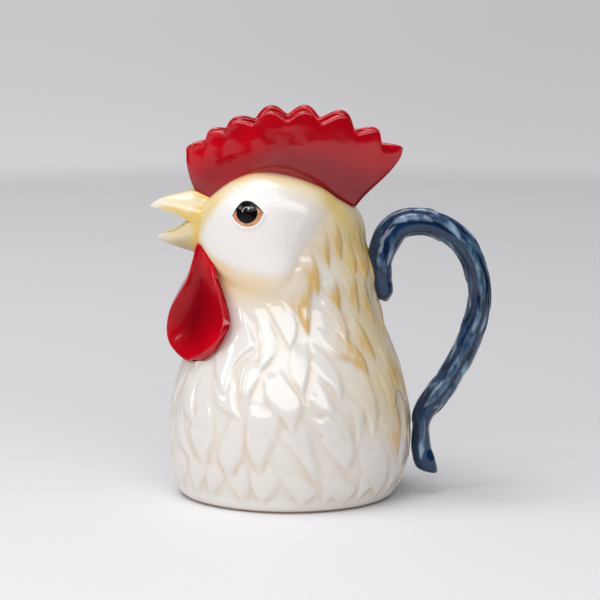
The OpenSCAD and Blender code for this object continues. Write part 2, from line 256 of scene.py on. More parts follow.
glaze = {"roughness": 0.13, "ior": 1.5, "specular": 0.1, "coatRoughness": 0.02, "satinRoughness": 0.4,
         "waveScale": 60.0, "waveHeight": 0.0003, "poreScale": 900.0, "poreHeight": 0.00002}


def glazeOver(tree, shader, colour, roughness=glaze["roughness"], waves=1.0):
    tree.links.new(colour, shader.inputs["Base Color"])
    shader.inputs["Roughness"].default_value = roughness
    shader.inputs["IOR"].default_value = glaze["ior"]
    shader.inputs["Specular IOR Level"].default_value = glaze["specular"]
    shader.inputs["Coat Weight"].default_value = 1.0
    shader.inputs["Coat Roughness"].default_value = glaze["coatRoughness"]
    shader.inputs["Coat IOR"].default_value = glaze["ior"]
    broad = addNode(tree, "ShaderNodeBump", None, {"Strength": 1.0, "Distance": glaze["waveHeight"] * waves,
                                                   "Height": noise(tree, glaze["waveScale"], 1.0)})
    fine = addNode(tree, "ShaderNodeBump", None, {"Strength": 1.0, "Distance": glaze["poreHeight"],
                                                  "Height": noise(tree, glaze["poreScale"], 2.0),
                                                  "Normal": broad.outputs[0]})
    for socket in ("Normal", "Coat Normal"):
        tree.links.new(fine.outputs[0], shader.inputs[socket])


floorMaterial, tree, shader = nodeTree("StudioFloor")
place = addNode(tree, "ShaderNodeTexCoord").outputs["Object"]
distance = addNode(tree, "ShaderNodeVectorMath", {"operation": "LENGTH"}, {0: place}).outputs["Value"]
backwards = addNode(tree, "ShaderNodeSeparateXYZ", None, {0: place}).outputs["Y"]
backStart, backEnd, backAlpha = studio["floorBack"]
behind = mapRange(tree, backwards, backStart - studio["floorMiddle"], backEnd - studio["floorMiddle"], 1.0,
                  backAlpha)
around = mapRange(tree, distance, *studio["floorFade"], 1.0, 0.0)
tree.links.new(product(tree, behind, around), shader.inputs["Alpha"])
light = addNode(tree, "ShaderNodeLightPath").outputs
seenOrGlossy = mathNode(tree, "MAXIMUM", light["Is Camera Ray"], light["Is Glossy Ray"])
tree.links.new(mixColour(tree, seenOrGlossy, studio["floorBounce"], studio["floorSeen"]),
               shader.inputs["Base Color"])
shader.inputs["Roughness"].default_value = studio["floorRoughness"]
shader.inputs["Specular IOR Level"].default_value = studio["floorSpecular"]
rings, sides = studio["floorRings"], studio["floorSides"]
floorPoints = [(0, 0, 0)] + [(r * math.cos(a), r * math.sin(a), 0)
                             for r in np.linspace(1 / rings, 1, rings) * studio["floorRadius"]
                             for a in np.linspace(0, 2 * math.pi, sides, endpoint=False)]
floorFaces = [(0, 1 + i, 1 + (i + 1) % sides) for i in range(sides)] + (1 + gridFaces(rings, sides)).tolist()
floorMesh = newMesh("StudioFloor", floorPoints, floorFaces, scale=1)
floorMesh.materials.append(floorMaterial)
floor = addObject("StudioFloor", floorMesh)
floor.location.y = studio["floorMiddle"]

world = bpy.data.worlds.new("Room")
world.use_nodes = True
bpy.context.scene.world = world
tree = world.node_tree
direction = addNode(tree, "ShaderNodeTexCoord").outputs["Generated"]
sideways, backwards, upward = addNode(tree, "ShaderNodeSeparateXYZ", None, {0: direction}).outputs
behind = product(tree, mapRange(tree, backwards, *studio["backZone"]),
                 mapRange(tree, upward, *studio["backTop"], 1.0, 0.0))
slanted = mathNode(tree, "ADD", sideways, product(tree, upward, studio["leftSlant"]))
leftwards, towards, low = (mapRange(tree, value, *studio[zone], 1.0, 0.0) for value, zone in
                           ((slanted, "leftZone"), (backwards, "leftFront"), (upward, "leftTop")))
room = layered(tree, studio["roomDark"], (behind, studio["roomBack"]),
               (product(tree, product(tree, leftwards, towards), low), studio["roomLeft"]),
               (mapRange(tree, upward, *studio["highZone"]), studio["roomHigh"]))
backdrop = layered(tree, studio["backdropLow"],
                   (mapRange(tree, upward, *studio["backdropRise"]), studio["backdropHigh"]),
                   (mapRange(tree, sideways, *studio["backdropSide"], 0.0, studio["backdropShade"]), (0, 0, 0)))
seen = addNode(tree, "ShaderNodeLightPath").outputs["Is Camera Ray"]
tree.links.new(mixColour(tree, seen, room, backdrop), tree.nodes["Background"].inputs["Color"])
print("studio ready")

# sections of the body, the same as in the CAD
heights = {"belly": 38, "neck": 133, "head": 160, "mouth": 170.3, "brow": 180.6, "nape": 178.5, "crown": 201.3}
swell = {"neck": 1.2, "crown": 3, "comb": 1.55, "combFront": 2.6}  # powers of the curves between the sections


# 0 to 2 are heights, 3 and 4 the reach to the front and the back, 5 the half width, 6 how far back the
# widest place is, and 7 to 10 the powers of the outline and of the arch, each for the front and the back
def section(frontZ, backZ, sideZ, front, back, halfWidth, widestShare, powers):
    return np.array([frontZ, backZ, sideZ, front, back, halfWidth, front * widestShare, *powers], float)


footSection = section(0, 0, 0, 61, 61, 57.5, 0, (1.85, 2, 2, 2))
bellySection = section(*[heights["belly"]] * 3, 73, 77.5, 67, 0.06, (1.85, 2, 2, 2))
neckSection = section(*[heights["neck"]] * 3, 49, 56.5, 42, 0.04, (1.8, 2, 2, 2))
headSection = section(*[heights["head"]] * 3, 56.2, 49.5, 40, -0.04, (1.75, 2, 2, 2))
rootSection = section(heights["brow"], heights["nape"], heights["crown"], 50.2, 43, 14.5, -0.3,
                      (2.1, 1.7, 2, 2.1))
rimSection = section(211.2, 211.2, 231.3, 60, 70, 18.1, 0.05, (1.5, 1.45, 1.9, 2.2))


def between(a, b, up, out):
    return a + (b - a) * np.array([up] * 3 + [out] * 8)


def bodySection(level):  # level 0 foot, 1 belly, 2 neck, 3 head, 4 comb's root
    if level <= 1:
        angle = level * math.pi / 2
        return between(footSection, bellySection, 1 - math.cos(angle), math.sin(angle))
    if level <= 2:
        t = level - 1
        return between(bellySection, neckSection, t, ease(t ** swell["neck"]))
    if level <= 3:
        t = level - 2
        return between(neckSection, headSection, t, ease(t))
    angle = (level - 3) * math.pi / 2
    s = between(headSection, rootSection, math.sin(angle), 1 - math.cos(angle))
    rounded = 1 - (1 - math.sin(angle) ** swell["crown"]) ** (1 / swell["crown"])
    s[5] = headSection[5] + (rootSection[5] - headSection[5]) * rounded
    return s


def combSection(up):  # from the comb's root to its rim
    flared = 1 - (1 - up) ** swell["comb"]
    s = between(rootSection, rimSection, up, flared)
    s[3] = rootSection[3] + (rimSection[3] - rootSection[3]) * (1 - (1 - up) ** swell["combFront"])
    s[4] = rootSection[4] + (rimSection[4] - rootSection[4]) * (flared + ease(up)) / 2
    return s


def sectionPoints(s, turns):  # points of a section at turns in degrees, from 0 at the front over the left side
    turns = np.radians(np.asarray(turns, float))
    c = np.cos(turns)
    fore = c > 0
    reach = np.where(fore, s[3] + s[6], s[4] - s[6])
    power = np.where(fore, s[7], s[8])
    arch = np.maximum(0, 1 - c * c) ** (np.where(fore, s[9], s[10]) / 2)
    endZ = s[0] * (1 + c) / 2 + s[1] * (1 - c) / 2
    side = np.maximum(0, 1 - np.abs(c) ** power) ** (1 / power)
    return np.stack([s[6] - reach * c, -np.sign(np.round(np.sin(turns), 9)) * s[5] * side,
                     endZ + (s[2] - endZ) * arch], -1)


# Carved leaves: each is raised towards its tip, and its edges drop to what lies below it. They are
# drawn on the unrolled surface, in degrees across and millimetres along, and both edges end in the tip.
leafShape = {
    "smooth": 6, "rise": 0.8, "rootZone": (0, 0.22),
    # the colour lies near the tip and along the right edge, and sets in from the root
    "tipColour": 0.8, "tipZone": (0.2, 0.85), "edgeColour": 0.7, "edgeWidth": 4, "colourZone": (0.04, 0.4),
    # a plain leaf's widths and how it sways, from the root to the tip
    "widths": (0.6, 1, 0.9, 0.45, 0), "sways": (0, 1.5, 1, -1, -2),
}


def distanceTo(places, line):
    start, step = line[:-1], np.diff(line, axis=0)
    share = np.clip(((places[:, None] - start) * step).sum(-1) / (step * step).sum(-1), 0, 1)
    return np.linalg.norm(places[:, None] - start - share[..., None] * step, axis=2).min(1)


def within(places, outline):
    x, y = places[:, :1], places[:, 1:]
    after = np.roll(outline, -1, axis=0)
    crossed = (outline[:, 1] > y) != (after[:, 1] > y)
    rise = np.where(after[:, 1] == outline[:, 1], 1, after[:, 1] - outline[:, 1])
    left = x < outline[:, 0] + (y - outline[:, 1]) * (after[:, 0] - outline[:, 0]) / rise
    return (crossed & left).sum(1) % 2 == 1


def carve(across, along, leaves, shape):  # height of the relief and how much colour is brushed on it
    height, brushed = np.full(across.shape, shape["low"]), np.zeros(across.shape)
    for amount, left, right in leaves:
        left, right = (throughPoints(edge, leafShape["smooth"]) for edge in (left, [*right, left[-1]]))
        outline = np.concatenate([left, right[::-1]])
        scale = np.array([np.interp(outline[:, 1].mean(), *shape["scale"]), 1])
        least, most = outline.min(0), outline.max(0)
        chosen = np.nonzero((across > least[0]) & (across < most[0]) & (along > least[1]) & (along < most[1]))
        places = np.stack([across[chosen], along[chosen]], -1)
        inside = within(places, outline)
        chosen, places = tuple(c[inside] for c in chosen), places[inside] * scale
        toLeft, toRight = distanceTo(places, left * scale), distanceTo(places, right * scale)
        fromRoot = np.linalg.norm(places - (left[0] + right[0]) / 2 * scale, axis=1)
        toTip = np.linalg.norm(places - (left[-1] + right[-1]) / 2 * scale, axis=1)
        reach = fromRoot / (fromRoot + toTip + 1e-9)
        rise = 1 - (1 - np.clip(np.minimum(toLeft, toRight) / shape["edge"], 0, 1)) ** 2
        level = shape["rootRise"] + (1 - shape["rootRise"]) * reach ** leafShape["rise"]
        level = shape["low"] + (level - shape["low"]) * rise * fade(reach, *leafShape["rootZone"])
        stroke = amount * (leafShape["tipColour"] * fade(reach, *leafShape["tipZone"]) + leafShape["edgeColour"]
                           * np.exp(-toRight / leafShape["edgeWidth"])) * fade(reach, *leafShape["colourZone"])
        above = level > height[chosen]
        height[chosen] = np.where(above, level, height[chosen])
        brushed[chosen] = np.where(above, stroke, brushed[chosen])
    return height, brushed


def plainLeaf(turn, root, tip, width, amount):  # where the photograph shows none, or shows them edge-on
    down = np.linspace(root, tip, len(leafShape["widths"]))
    half = width / 2 * np.array(leafShape["widths"])
    middle = turn + np.array(leafShape["sways"]) * (turn not in (0, 180))
    return amount, list(zip(middle - half, down)), list(zip(middle + half, down))[:-1]


# body: a hollow shell with carved feathers, smooth satin cheeks in a lighter white that is partly painted light, and
# brushed ochre
feathers = {
    "low": 0.22, "rootRise": 0.35, "edge": 2.8, "depth": 1.9, "middleZ": 90, "cheekSteps": 8,
    "scale": ([0, 38, 133, 160, 185], [1.03, 1.22, 0.86, 0.84, 0.6]),
    # how much ochre is brushed on, the left edge from the root to the tip, and the right edge, which ends
    # in the same tip: turn, height
    "leaves": [
        (0, [(45, 115), (42, 101), (44, 88), (50, 76), (56, 67)],
         [(52, 127), (61, 116), (67, 107), (69, 100), (63, 95), (58, 87), (57, 76)]),
        (0, [(64, 121), (69, 111), (72, 101), (72, 93), (72, 84)],
         [(72, 125), (78, 115), (82, 107), (82, 99), (79, 92)]),
        (0, [(70, 100), (66, 92), (64, 84), (64, 74), (68, 65)], [(76, 89), (72, 79), (69, 71)]),
        (0, [(46, 78), (50, 67), (57, 61), (66, 57)], [(56, 87), (60, 78), (61, 70), (63, 63)]),
        (0, [(22, 82), (21, 68), (27, 57), (39, 50)], [(35, 84), (34, 73), (35, 64)]),
        (0, [(18, 66), (19, 50), (26, 35), (38, 27)], [(29, 66), (28, 55), (31, 43)]),
        (0, [(39, 61), (34, 47), (39, 34), (46, 24)], [(45, 68), (50, 56), (51, 43), (48, 34)]),
        (0, [(61, 58), (56, 45), (54, 37), (55, 28), (60, 21)], [(68, 64), (68, 50), (67, 38), (64, 29)]),
        (0, [(69, 65), (68, 50), (69, 39), (72, 31), (75, 25)], [(83, 68), (84, 58), (82, 47), (79, 38)]),
        (0, [(75, 86), (76, 74), (80, 65), (86, 58), (90, 50)], [(83, 93), (89, 81), (94, 73), (95, 66), (93, 58)]),
        (0, [(73, 124), (81, 113), (86, 105), (90, 97)], [(87, 128), (94, 118), (95, 109)]),
        (1, [(72, 138), (85, 130), (94, 121), (98, 113), (101, 105)],
         [(104, 148), (106, 137), (104, 126), (103, 116)]),
        (0, [(91, 101), (90, 90), (92, 79), (97, 69)], [(100, 107), (101, 93), (99, 83), (97, 76)]),
        (0, [(101, 91), (105, 82), (110, 77), (116, 68)], [(103, 103), (111, 94), (116, 85), (117, 77)]),
        (0, [(99, 70), (102, 64), (107, 61), (113, 59)], [(104, 82), (109, 73), (111, 66)]),
        (0, [(99, 58), (104, 50), (110, 45), (116, 39)], [(106, 63), (113, 57), (116, 49)]),
        (0, [(104, 45), (108, 38), (113, 31), (118, 26)], [(112, 65), (118, 54), (121, 43), (121, 35)]),
        (0, [(120, 66), (122, 54), (122, 40), (116, 23)], [(122, 76), (128, 67), (128, 60), (126, 49), (122, 38)]),
        (0, [(119, 77), (124, 69), (128, 61), (130, 52), (132, 44)], [(132, 87), (136, 75), (137, 63), (136, 54)]),
        (1, [(105, 111), (110, 101), (117, 94), (126, 90), (135, 80)], [(121, 109), (130, 100), (135, 91)]),
        (0.9, [(126, 113), (134, 100), (144, 88)], [(134, 118), (141, 107), (144, 96)]),
        (0.8, [(150, 94), (153, 81), (158, 68)], [(163, 105), (168, 87), (167, 76)]),
        (1, [(136, 53), (144, 42), (152, 29)], [(152, 69), (156, 53), (155, 39)]),
        (0, [(84, 50), (89, 41), (94, 33), (102, 20)], [(94, 61), (98, 49), (100, 37), (102, 28)]),
        (1, [(98, 153), (102, 141), (109, 129)], [(110, 159), (112, 144)]),
        (0.8, [(114, 163), (118, 151), (119, 144)], [(121, 169), (124, 156)]),
        (0.9, [(122, 171), (128, 156), (132, 149)], [(130, 175), (136, 161)]),
        (0.7, [(113, 136), (119, 124), (124, 119)], [(121, 144), (125, 129)]),
        (0.8, [(128, 138), (134, 124), (140, 116)], [(138, 148), (141, 130)]),
        (1, [(140, 131), (147, 118), (155, 109)], [(147, 142), (156, 121)]),
        (0.7, [(145, 164), (148, 148), (150, 136)], [(157, 167), (167, 149)]),
        (0.6, [(136, 162), (139, 148), (140, 140)], [(143, 167), (148, 151)]),
        (0.2, [(105, 127), (113, 119), (119, 110), (124, 99)], [(113, 133), (124, 122), (128, 108)]),
        (0, [(56, 23), (61, 14), (66, 3)], [(67, 30), (70, 17)]),
        (0, [(70, 25), (71, 15), (76, 4)], [(80, 31), (84, 19)]),
        (0, [(82, 28), (86, 19), (96, 3)], [(96, 22), (103, 13)]),
        (0, [(124, 40), (126, 26), (141, 4)], [(138, 42), (144, 28), (145, 15)]),
        (0, [(105, 23), (107, 14), (119, 2)], [(116, 20), (125, 13)]),
        (0.5, [(143, 81), (146, 68), (148, 56)], [(152, 88), (157, 69)]),
    ],
    # turn, height of the root and of the tip, width in degrees and ochre
    "plain": [
        (0, 132, 96, 15, 0), (0, 100, 66, 16, 0), (0, 70, 38, 16, 0), (0, 42, 10, 15, 0),
        (15, 120, 84, 13, 0), (13, 88, 56, 12, 0), (11, 56, 25, 12, 0), (30, 134, 100, 13, 0),
        (30, 110, 80, 11, 0), (22, 34, 6, 15, 0), (38, 32, 5, 13, 0), (8, 26, 3, 12, 0), (49, 30, 4, 11, 0),
        (180, 174, 140, 13, 0.5), (168, 166, 130, 12, 0.7), (180, 142, 106, 14, 0.7), (169, 132, 98, 13, 0.8),
        (180, 108, 72, 14, 0.7), (173, 92, 60, 12, 0.7), (180, 72, 38, 14, 0.5), (164, 66, 34, 12, 0.7),
        (172, 52, 22, 12, 0.4), (180, 38, 8, 14, 0.2), (160, 40, 10, 13, 0.2), (170, 28, 4, 11, 0),
        (110, 24, 3, 11, 0), (130, 24, 4, 11, 0), (152, 26, 4, 10, 0),
    ],
    # the smooth cheek ends along this line, given by turns and heights
    "cheek": [(0, 150), (22, 154), (34, 147), (44, 143), (56, 140), (69, 138), (81, 137), (92, 140), (100, 147),
              (107, 156), (115, 164), (125, 171), (137, 177), (150, 181), (180, 183)],
}
bodyGrid = {"turns": 320, "rows": (58, 165, 50, 76), "innerRows": 36, "innerLevels": (3.86, 0.2), "wall": 4.5,
            "footRing": 9, "footRecess": 1.2, "throat": 12, "throatX": (-66, -42), "throatSides": 48}
# where the glaze is coloured and satin: turns in degrees from the beak, the rest in millimetres and amounts
bodyPaint = {
    # the smooth cheek sets in over the first distance below its line, and at the nape over both above it
    "napeTurns": (75, 108), "cheekEdge": 13, "napeEdge": 9,
    # brush strokes: strength, what is taken off on the cheek, and where they end above its line, counted down
    "strokes": 1.9, "strokesOffCheek": 0.2, "strokesEnd": (-20, -4),
    # the band along the cheek's line is partly a yellow wash and partly painted shade under the cheek's bulge and a
    # painted warm glow from the wattle, strongest near it: its lower and upper edge, its strength and what that loses
    # over the turns
    "bandLow": (-25, -6), "bandHigh": (0, 9), "band": (1.25, 0.9), "bandTurns": (30, 105),
    # the wash under the comb: start, end and what is added to the end at the brow and the nape, then its
    # strength and what is added to that
    "rootReach": (8, 20, 8, 16), "root": (1.1, 0.6, -0.15), "browTurns": (25, 60),
    # the washes on the face and down the back; the back's have an amount and heights each
    "face": 0.85, "faceTurns": (12, 34), "faceHeights": (150, 156),
    "backTurns": (108, 148), "back": ((0.6, 30, 70), (0.3, 112, 145)),
    "satinEdge": (-4, 12), "satinTop": (194, 200), "satinOffNape": 0.7,
    # creases are what lies lower than the relief around it; they are painted a darker tan, partly a tan wash in the
    # glaze and partly painted shade; the feathers and the glaze end above the foot
    "creaseReach": 16, "creaseWashAndShade": 3.6, "footZone": (1.5, 9), "bareZone": (0.9, 2.2), "soften": 2,
}


def zone(name, values):  # 0 before the zone and 1 after it
    return fade(values, *bodyPaint[name])


halfTurns = np.linspace(0, 180, bodyGrid["turns"] + 1)
levels = np.concatenate([np.linspace(start, start + 1, count, endpoint=False)
                         for start, count in enumerate(bodyGrid["rows"])] + [[4.0]])
halfOutside = np.stack([sectionPoints(bodySection(v), halfTurns) for v in levels])
turnField, zField = halfTurns[None, :] + 0 * halfOutside[..., 2], halfOutside[..., 2]
leaves = feathers["leaves"] + [plainLeaf(*leaf) for leaf in feathers["plain"]]
height, brushed = carve(turnField, zField, leaves, feathers)
cheekKnots = throughPoints(feathers["cheek"], feathers["cheekSteps"])
aboveCheek = zField - np.interp(halfTurns, cheekKnots[:, 0], cheekKnots[:, 1])[None, :]
nape = zone("napeTurns", turnField)  # there the feathers fade out softly on the cheek
edge = bodyPaint["cheekEdge"]
onCheek = ease(np.clip((aboveCheek + edge - edge * nape) / (edge + bodyPaint["napeEdge"] * nape), 0, 1))
height = np.maximum(height, onCheek)
brushed = np.clip(bodyPaint["strokes"] * brushed, 0, 1) * (1 - bodyPaint["strokesOffCheek"] * onCheek)
brushed = brushed * zone("strokesEnd", -aboveCheek)
strength, loss = bodyPaint["band"]
# painted shade under the cheek and a painted warm glow from the wattle, over a yellow wash
underCheekWashShadeGlow = zone("bandLow", aboveCheek) * (1 - zone("bandHigh", aboveCheek))
underCheekWashShadeGlow = underCheekWashShadeGlow * (strength - loss * zone("bandTurns", turnField))
steps = np.linalg.norm(np.diff(halfOutside, axis=0), axis=2)
fromRoot = np.concatenate([np.cumsum(steps[::-1], axis=0)[::-1], 0 * steps[:1]])
byBrow = 1 - zone("browTurns", turnField)
start, end, endAtBrow, endAtNape = bodyPaint["rootReach"]
strength, atBrow, atNape = bodyPaint["root"]
rootWash = 1 - fade(fromRoot, start, end + endAtBrow * byBrow + endAtNape * nape)
rootWash = rootWash * (strength + atBrow * byBrow + atNape * nape)
faceWash = (1 - zone("faceTurns", turnField)) * zone("faceHeights", zField)
backWash = sum(amount * fade(zField, low, high) for amount, low, high in bodyPaint["back"])
washed = rootWash + faceWash * bodyPaint["face"] + zone("backTurns", turnField) * backWash
# the smooth cheek gets a rougher satin coat and a lighter white, partly painted light on the face
satinAndLight = zone("satinEdge", aboveCheek) * (1 - zone("satinTop", zField))
satinAndLight = satinAndLight * (1 - bodyPaint["satinOffNape"] * nape)

height, brushed, underCheekWashShadeGlow, washed, satinAndLight = (
    soften(wholeRing(f), bodyPaint["soften"])
    for f in (height, brushed, underCheekWashShadeGlow, np.clip(washed, 0, 1), satinAndLight))
outside = wholeRing(halfOutside)
columns = outside.shape[1]
onFeathers = zone("footZone", outside[..., 2])
outside = carvedIn(outside, height, onFeathers * feathers["depth"], (0, 0, feathers["middleZ"]))
# painted shade in the creases, darker where the relief lies lower, partly a tan wash in the glaze
creaseWashAndShade = np.clip((soften(height, bodyPaint["creaseReach"]) - height) * bodyPaint["creaseWashAndShade"], 0, 1) * onFeathers
# the unglazed foot's brown, darkened as a painted contact shadow along the lowest edge
bareFootAndShadow = 1 - zone("bareZone", outside[..., 2])

# the foot's recess and ring, the outside, then the inside from under the comb down to its floor
turnsAround = np.concatenate([halfTurns, 360 - halfTurns[-2:0:-1]])
inFoot = 1 - bodyGrid["footRing"] / footSection[3]
insideFoot = sectionPoints(footSection, turnsAround) * [inFoot, inFoot, 0]


def innerRing(level):  # the section at a level, moved in by the wall, square to the outside
    step = 0.01
    here, low, high = (bodySection(v) for v in (level, level - step, level + step))
    moved = here.copy()
    for reach, rise in ((3, 0), (4, 1), (5, 2)):
        along = np.array([high[reach] - low[reach], high[rise] - low[rise]])
        square = np.array([along[1], -along[0]]) / np.linalg.norm(along)
        moved[reach], moved[rise] = np.array([here[reach], here[rise]]) - bodyGrid["wall"] * square
    return sectionPoints(moved, turnsAround)


combWall = {"side": 4.2, "end": 8.0}
rootInside = rootSection.copy()
rootInside[3:6] -= [combWall["end"], combWall["end"], combWall["side"]]
innerRings = [sectionPoints(rootInside, turnsAround)] + [
    innerRing(v) for v in np.linspace(*bodyGrid["innerLevels"], bodyGrid["innerRows"])]
rows = [insideFoot + [0, 0, bodyGrid["footRecess"]], insideFoot, *outside, *innerRings]


def rowField(values):
    return np.concatenate([np.zeros(2 * columns), values.ravel(), np.zeros(len(innerRings) * columns + 2)])


bodyColours = {"white": (0.83, 0.80, 0.765), "warm": (0.81, 0.77, 0.72), "shade": (0.66, 0.49, 0.31),
               "cheek": (0.90, 0.88, 0.86), "band": (0.86, 0.64, 0.34), "wash": (0.82, 0.62, 0.22),
               "ochre": (0.73, 0.48, 0.15), "bareFootAndShadow": (0.33, 0.20, 0.12)}
# noises, and where a colour is patchy: the noise's low and high value, and the amounts there
bodyNoise = {"streaks": (240.0, 4.0, (1, 1, 0.2), 0.4), "clouds": (42.0, 3.0)}
bodyPatches = {"warm": (0.35, 0.7, 0.0, 0.5), "band": (0.25, 0.7, 0.45, 1.0), "wash": (0.25, 0.7, 0.5, 1.0),
               "ochre": (0.3, 0.62, 0.35, 1.0)}
bodyStrengths = {"creaseWashAndShade": 0.8, "ochre": 0.95}
whiteGlaze, tree, shader = nodeTree("WhiteGlaze")
streaks, clouds = (noise(tree, *bodyNoise[name]) for name in ("streaks", "clouds"))
patches = {name: mapRange(tree, streaks if name == "ochre" else clouds, *values)
           for name, values in bodyPatches.items()}
band, wash, ochre = (product(tree, field(tree, name), patches[name]) for name in ("band", "wash", "ochre"))
colour = layered(tree, bodyColours["white"], (patches["warm"], bodyColours["warm"]), ("satinAndLight", bodyColours["cheek"]),
                 (product(tree, field(tree, "creaseWashAndShade"), bodyStrengths["creaseWashAndShade"]), bodyColours["shade"]),
                 (band, bodyColours["band"]), (wash, bodyColours["wash"]),
                 (product(tree, ochre, bodyStrengths["ochre"]), bodyColours["ochre"]), ("bareFootAndShadow", bodyColours["bareFootAndShadow"]))
glazeOver(tree, shader, colour)
vary(tree, shader, "Coat Roughness", "satinAndLight", glaze["coatRoughness"], glaze["satinRoughness"])
bodyPiece = makePiece(
    "BodyShell", cappedPoints(rows), cappedFaces(len(rows), columns), whiteGlaze, ["body"],
    {"creaseWashAndShade": rowField(creaseWashAndShade), "ochre": rowField(brushed), "band": rowField(underCheekWashShadeGlow), "wash": rowField(washed),
     "satinAndLight": rowField(satinAndLight), "bareFootAndShadow": rowField(bareFootAndShadow)})


def cutBy(piece, name, points, faces):  # takes a closed solid away from a piece
    cutter = addObject(name, newMesh(name, points, faces))
    cut = piece.modifiers.new(name, "BOOLEAN")
    cut.operation, cut.object, cut.solver = "DIFFERENCE", cutter, "EXACT"
    bpy.context.view_layer.update()
    made = bpy.data.meshes.new_from_object(piece.evaluated_get(bpy.context.evaluated_depsgraph_get()))
    piece.modifiers.remove(cut)
    piece.data = made
    bpy.data.objects.remove(cutter)


sides, radius = bodyGrid["throatSides"], bodyGrid["throat"] / 2
bore = [(x, radius * math.cos(a), heights["mouth"] + radius * math.sin(a)) for x in bodyGrid["throatX"]
        for a in np.linspace(0, 2 * math.pi, sides, endpoint=False)]
boreEnds = [range(sides - 1, -1, -1), range(sides, 2 * sides)]
cutBy(bodyPiece, "ThroatBore", bore, gridFaces(2, sides).tolist() + boreEnds)
print("body done")

# comb: an open wall that flares from the crown of the head, with round teeth and a rolled lip
comb = {"rows": 64, "innerRows": 28, "lipRows": 11, "toothHeight": 9, "toothRound": 0.8, "toothEnd": 0.2,
        "toothStart": 0.55, "fan": 0.45, "lipRise": 0.85, "lipRadius": 2.3, "lipStart": 0.75,
        # the wall is pinched in below the valleys; rounds of evening out, for the teeth and for the pinch
        "pinch": 0.5, "pinchStart": 0.3, "evenTeeth": 9, "evenPinch": 70,
        # painted shade: amount of the deep red low on the wall, where its flare faces down, and inside it, and from
        # and to as shares of the height
        "shadeOutside": (0.6, 0.25, 0.8), "shadeInside": (0.8, 0.0, 0.3),
        # the valleys between the teeth from front to back, then each tooth's height and lean
        "valleys": (0, 0.193, 0.283, 0.385, 0.488, 0.586, 0.696, 0.808, 1),
        "teeth": (0.4, 0.55, 0.64, 0.84, 0.82, 1, 0.76, 0.45),
        "leans": (1, 0.65, 0.7, 0.95, 1.2, 1.5, 1.9, 1.3)}


def toothAt(turns):  # the same teeth as in the CAD
    share = np.where(turns > 180, 360 - turns, turns) / 180
    valleys = np.array(comb["valleys"])
    final = len(comb["teeth"]) - 1
    k = np.clip(np.searchsorted(valleys, share, side="right") - 1, 0, final)
    along = np.clip((share - valleys[k]) / (valleys[k + 1] - valleys[k]), 0, 1)
    end = comb["toothEnd"]
    v = np.where(k == 0, end + (1 - end) * along, np.where(k == final, (1 - end) * along, along))
    arch = np.abs(np.sin(math.pi * v ** np.array(comb["leans"])[k])) ** comb["toothRound"]
    return comb["toothHeight"] * np.array(comb["teeth"])[k] * arch


teethAround = soften(toothAt(turnsAround)[None], comb["evenTeeth"])[0]
evenTeeth = soften(teethAround[None], comb["evenPinch"])[0]
valleyShare = 1 - evenTeeth / evenTeeth.max()


def combRing(up, inside):
    s = combSection(up)
    if inside:
        s[3:6] -= [combWall["end"], combWall["end"], combWall["side"]]
    ring = sectionPoints(s, turnsAround)
    lift = max(0, up - comb["toothStart"]) / (1 - comb["toothStart"])
    away = unit((ring - [0, 0, heights["head"]]) * [comb["fan"], 0, 1])
    ring = ring + away * (teethAround * lift)[:, None]
    inward = np.minimum(np.abs(ring[:, 1]), comb["pinch"] * valleyShare * fade(up, comb["pinchStart"], 1))
    ring[:, 1] -= np.sign(ring[:, 1]) * inward * (not inside)
    return ring, away


ups = np.linspace(0, 1, comb["rows"]), np.linspace(1, 0, comb["innerRows"])
outer, inner = ([combRing(up, inside) for up in run] for inside, run in enumerate(ups))
away = outer[-1][1]
lipRadius = np.minimum(np.linalg.norm(outer[-1][0] - inner[0][0], axis=1) / 2, comb["lipRadius"])
drop = (lipRadius - comb["lipRise"])[:, None]
outerRings, innerCombRings = ([ring - side * drop * fade(up, comb["lipStart"], 1)
                               for (ring, side), up in zip(rings, run)] for rings, run in zip((outer, inner), ups))
centre = (outerRings[-1] + innerCombRings[0]) / 2
toSide = outerRings[-1] - centre
lip = [centre + toSide * math.cos(a) + away * lipRadius[:, None] * math.sin(a)
       for a in np.linspace(0, math.pi, comb["lipRows"] + 2)[1:-1]]
combRows = [*outerRings, *lip, *innerCombRings]
# painted shade: deep red low on the outside wall and down the inside
(outAmount, *outZone), (inAmount, *inZone) = comb["shadeOutside"], comb["shadeInside"]
hollow = np.concatenate([outAmount * (1 - fade(ups[0], *outZone)), np.zeros(len(lip)),
                         inAmount * fade(1 - ups[1], *inZone)])

redColours = {"deep": (0.17, 0.0005, 0.004), "bright": (0.62, 0.0012, 0.010)}
redFinish = {"noise": (38.0, 3.0), "patches": (0.3, 0.75, 0.6, 1.0), "roughness": 0.2, "waves": 1.6, "dullCoat": 0.35}
redGlaze, tree, shader = nodeTree("RedGlaze")
brightness = mapRange(tree, noise(tree, *redFinish["noise"]), *redFinish["patches"])
# the hollow field paints shade in deep red: on the comb, in the wattles' dish, on their band and at their back
colour = layered(tree, redColours["deep"], (brightness, redColours["bright"]), ("hollow", redColours["deep"]))
glazeOver(tree, shader, colour, redFinish["roughness"], redFinish["waves"])
vary(tree, shader, "Coat Weight", "dull", 1.0, redFinish["dullCoat"])
makePiece("CombWall", np.concatenate(combRows), gridFaces(len(combRows), columns, True), redGlaze,
          ["comb"], {"hollow": np.repeat(hollow, columns)})
print("comb done")

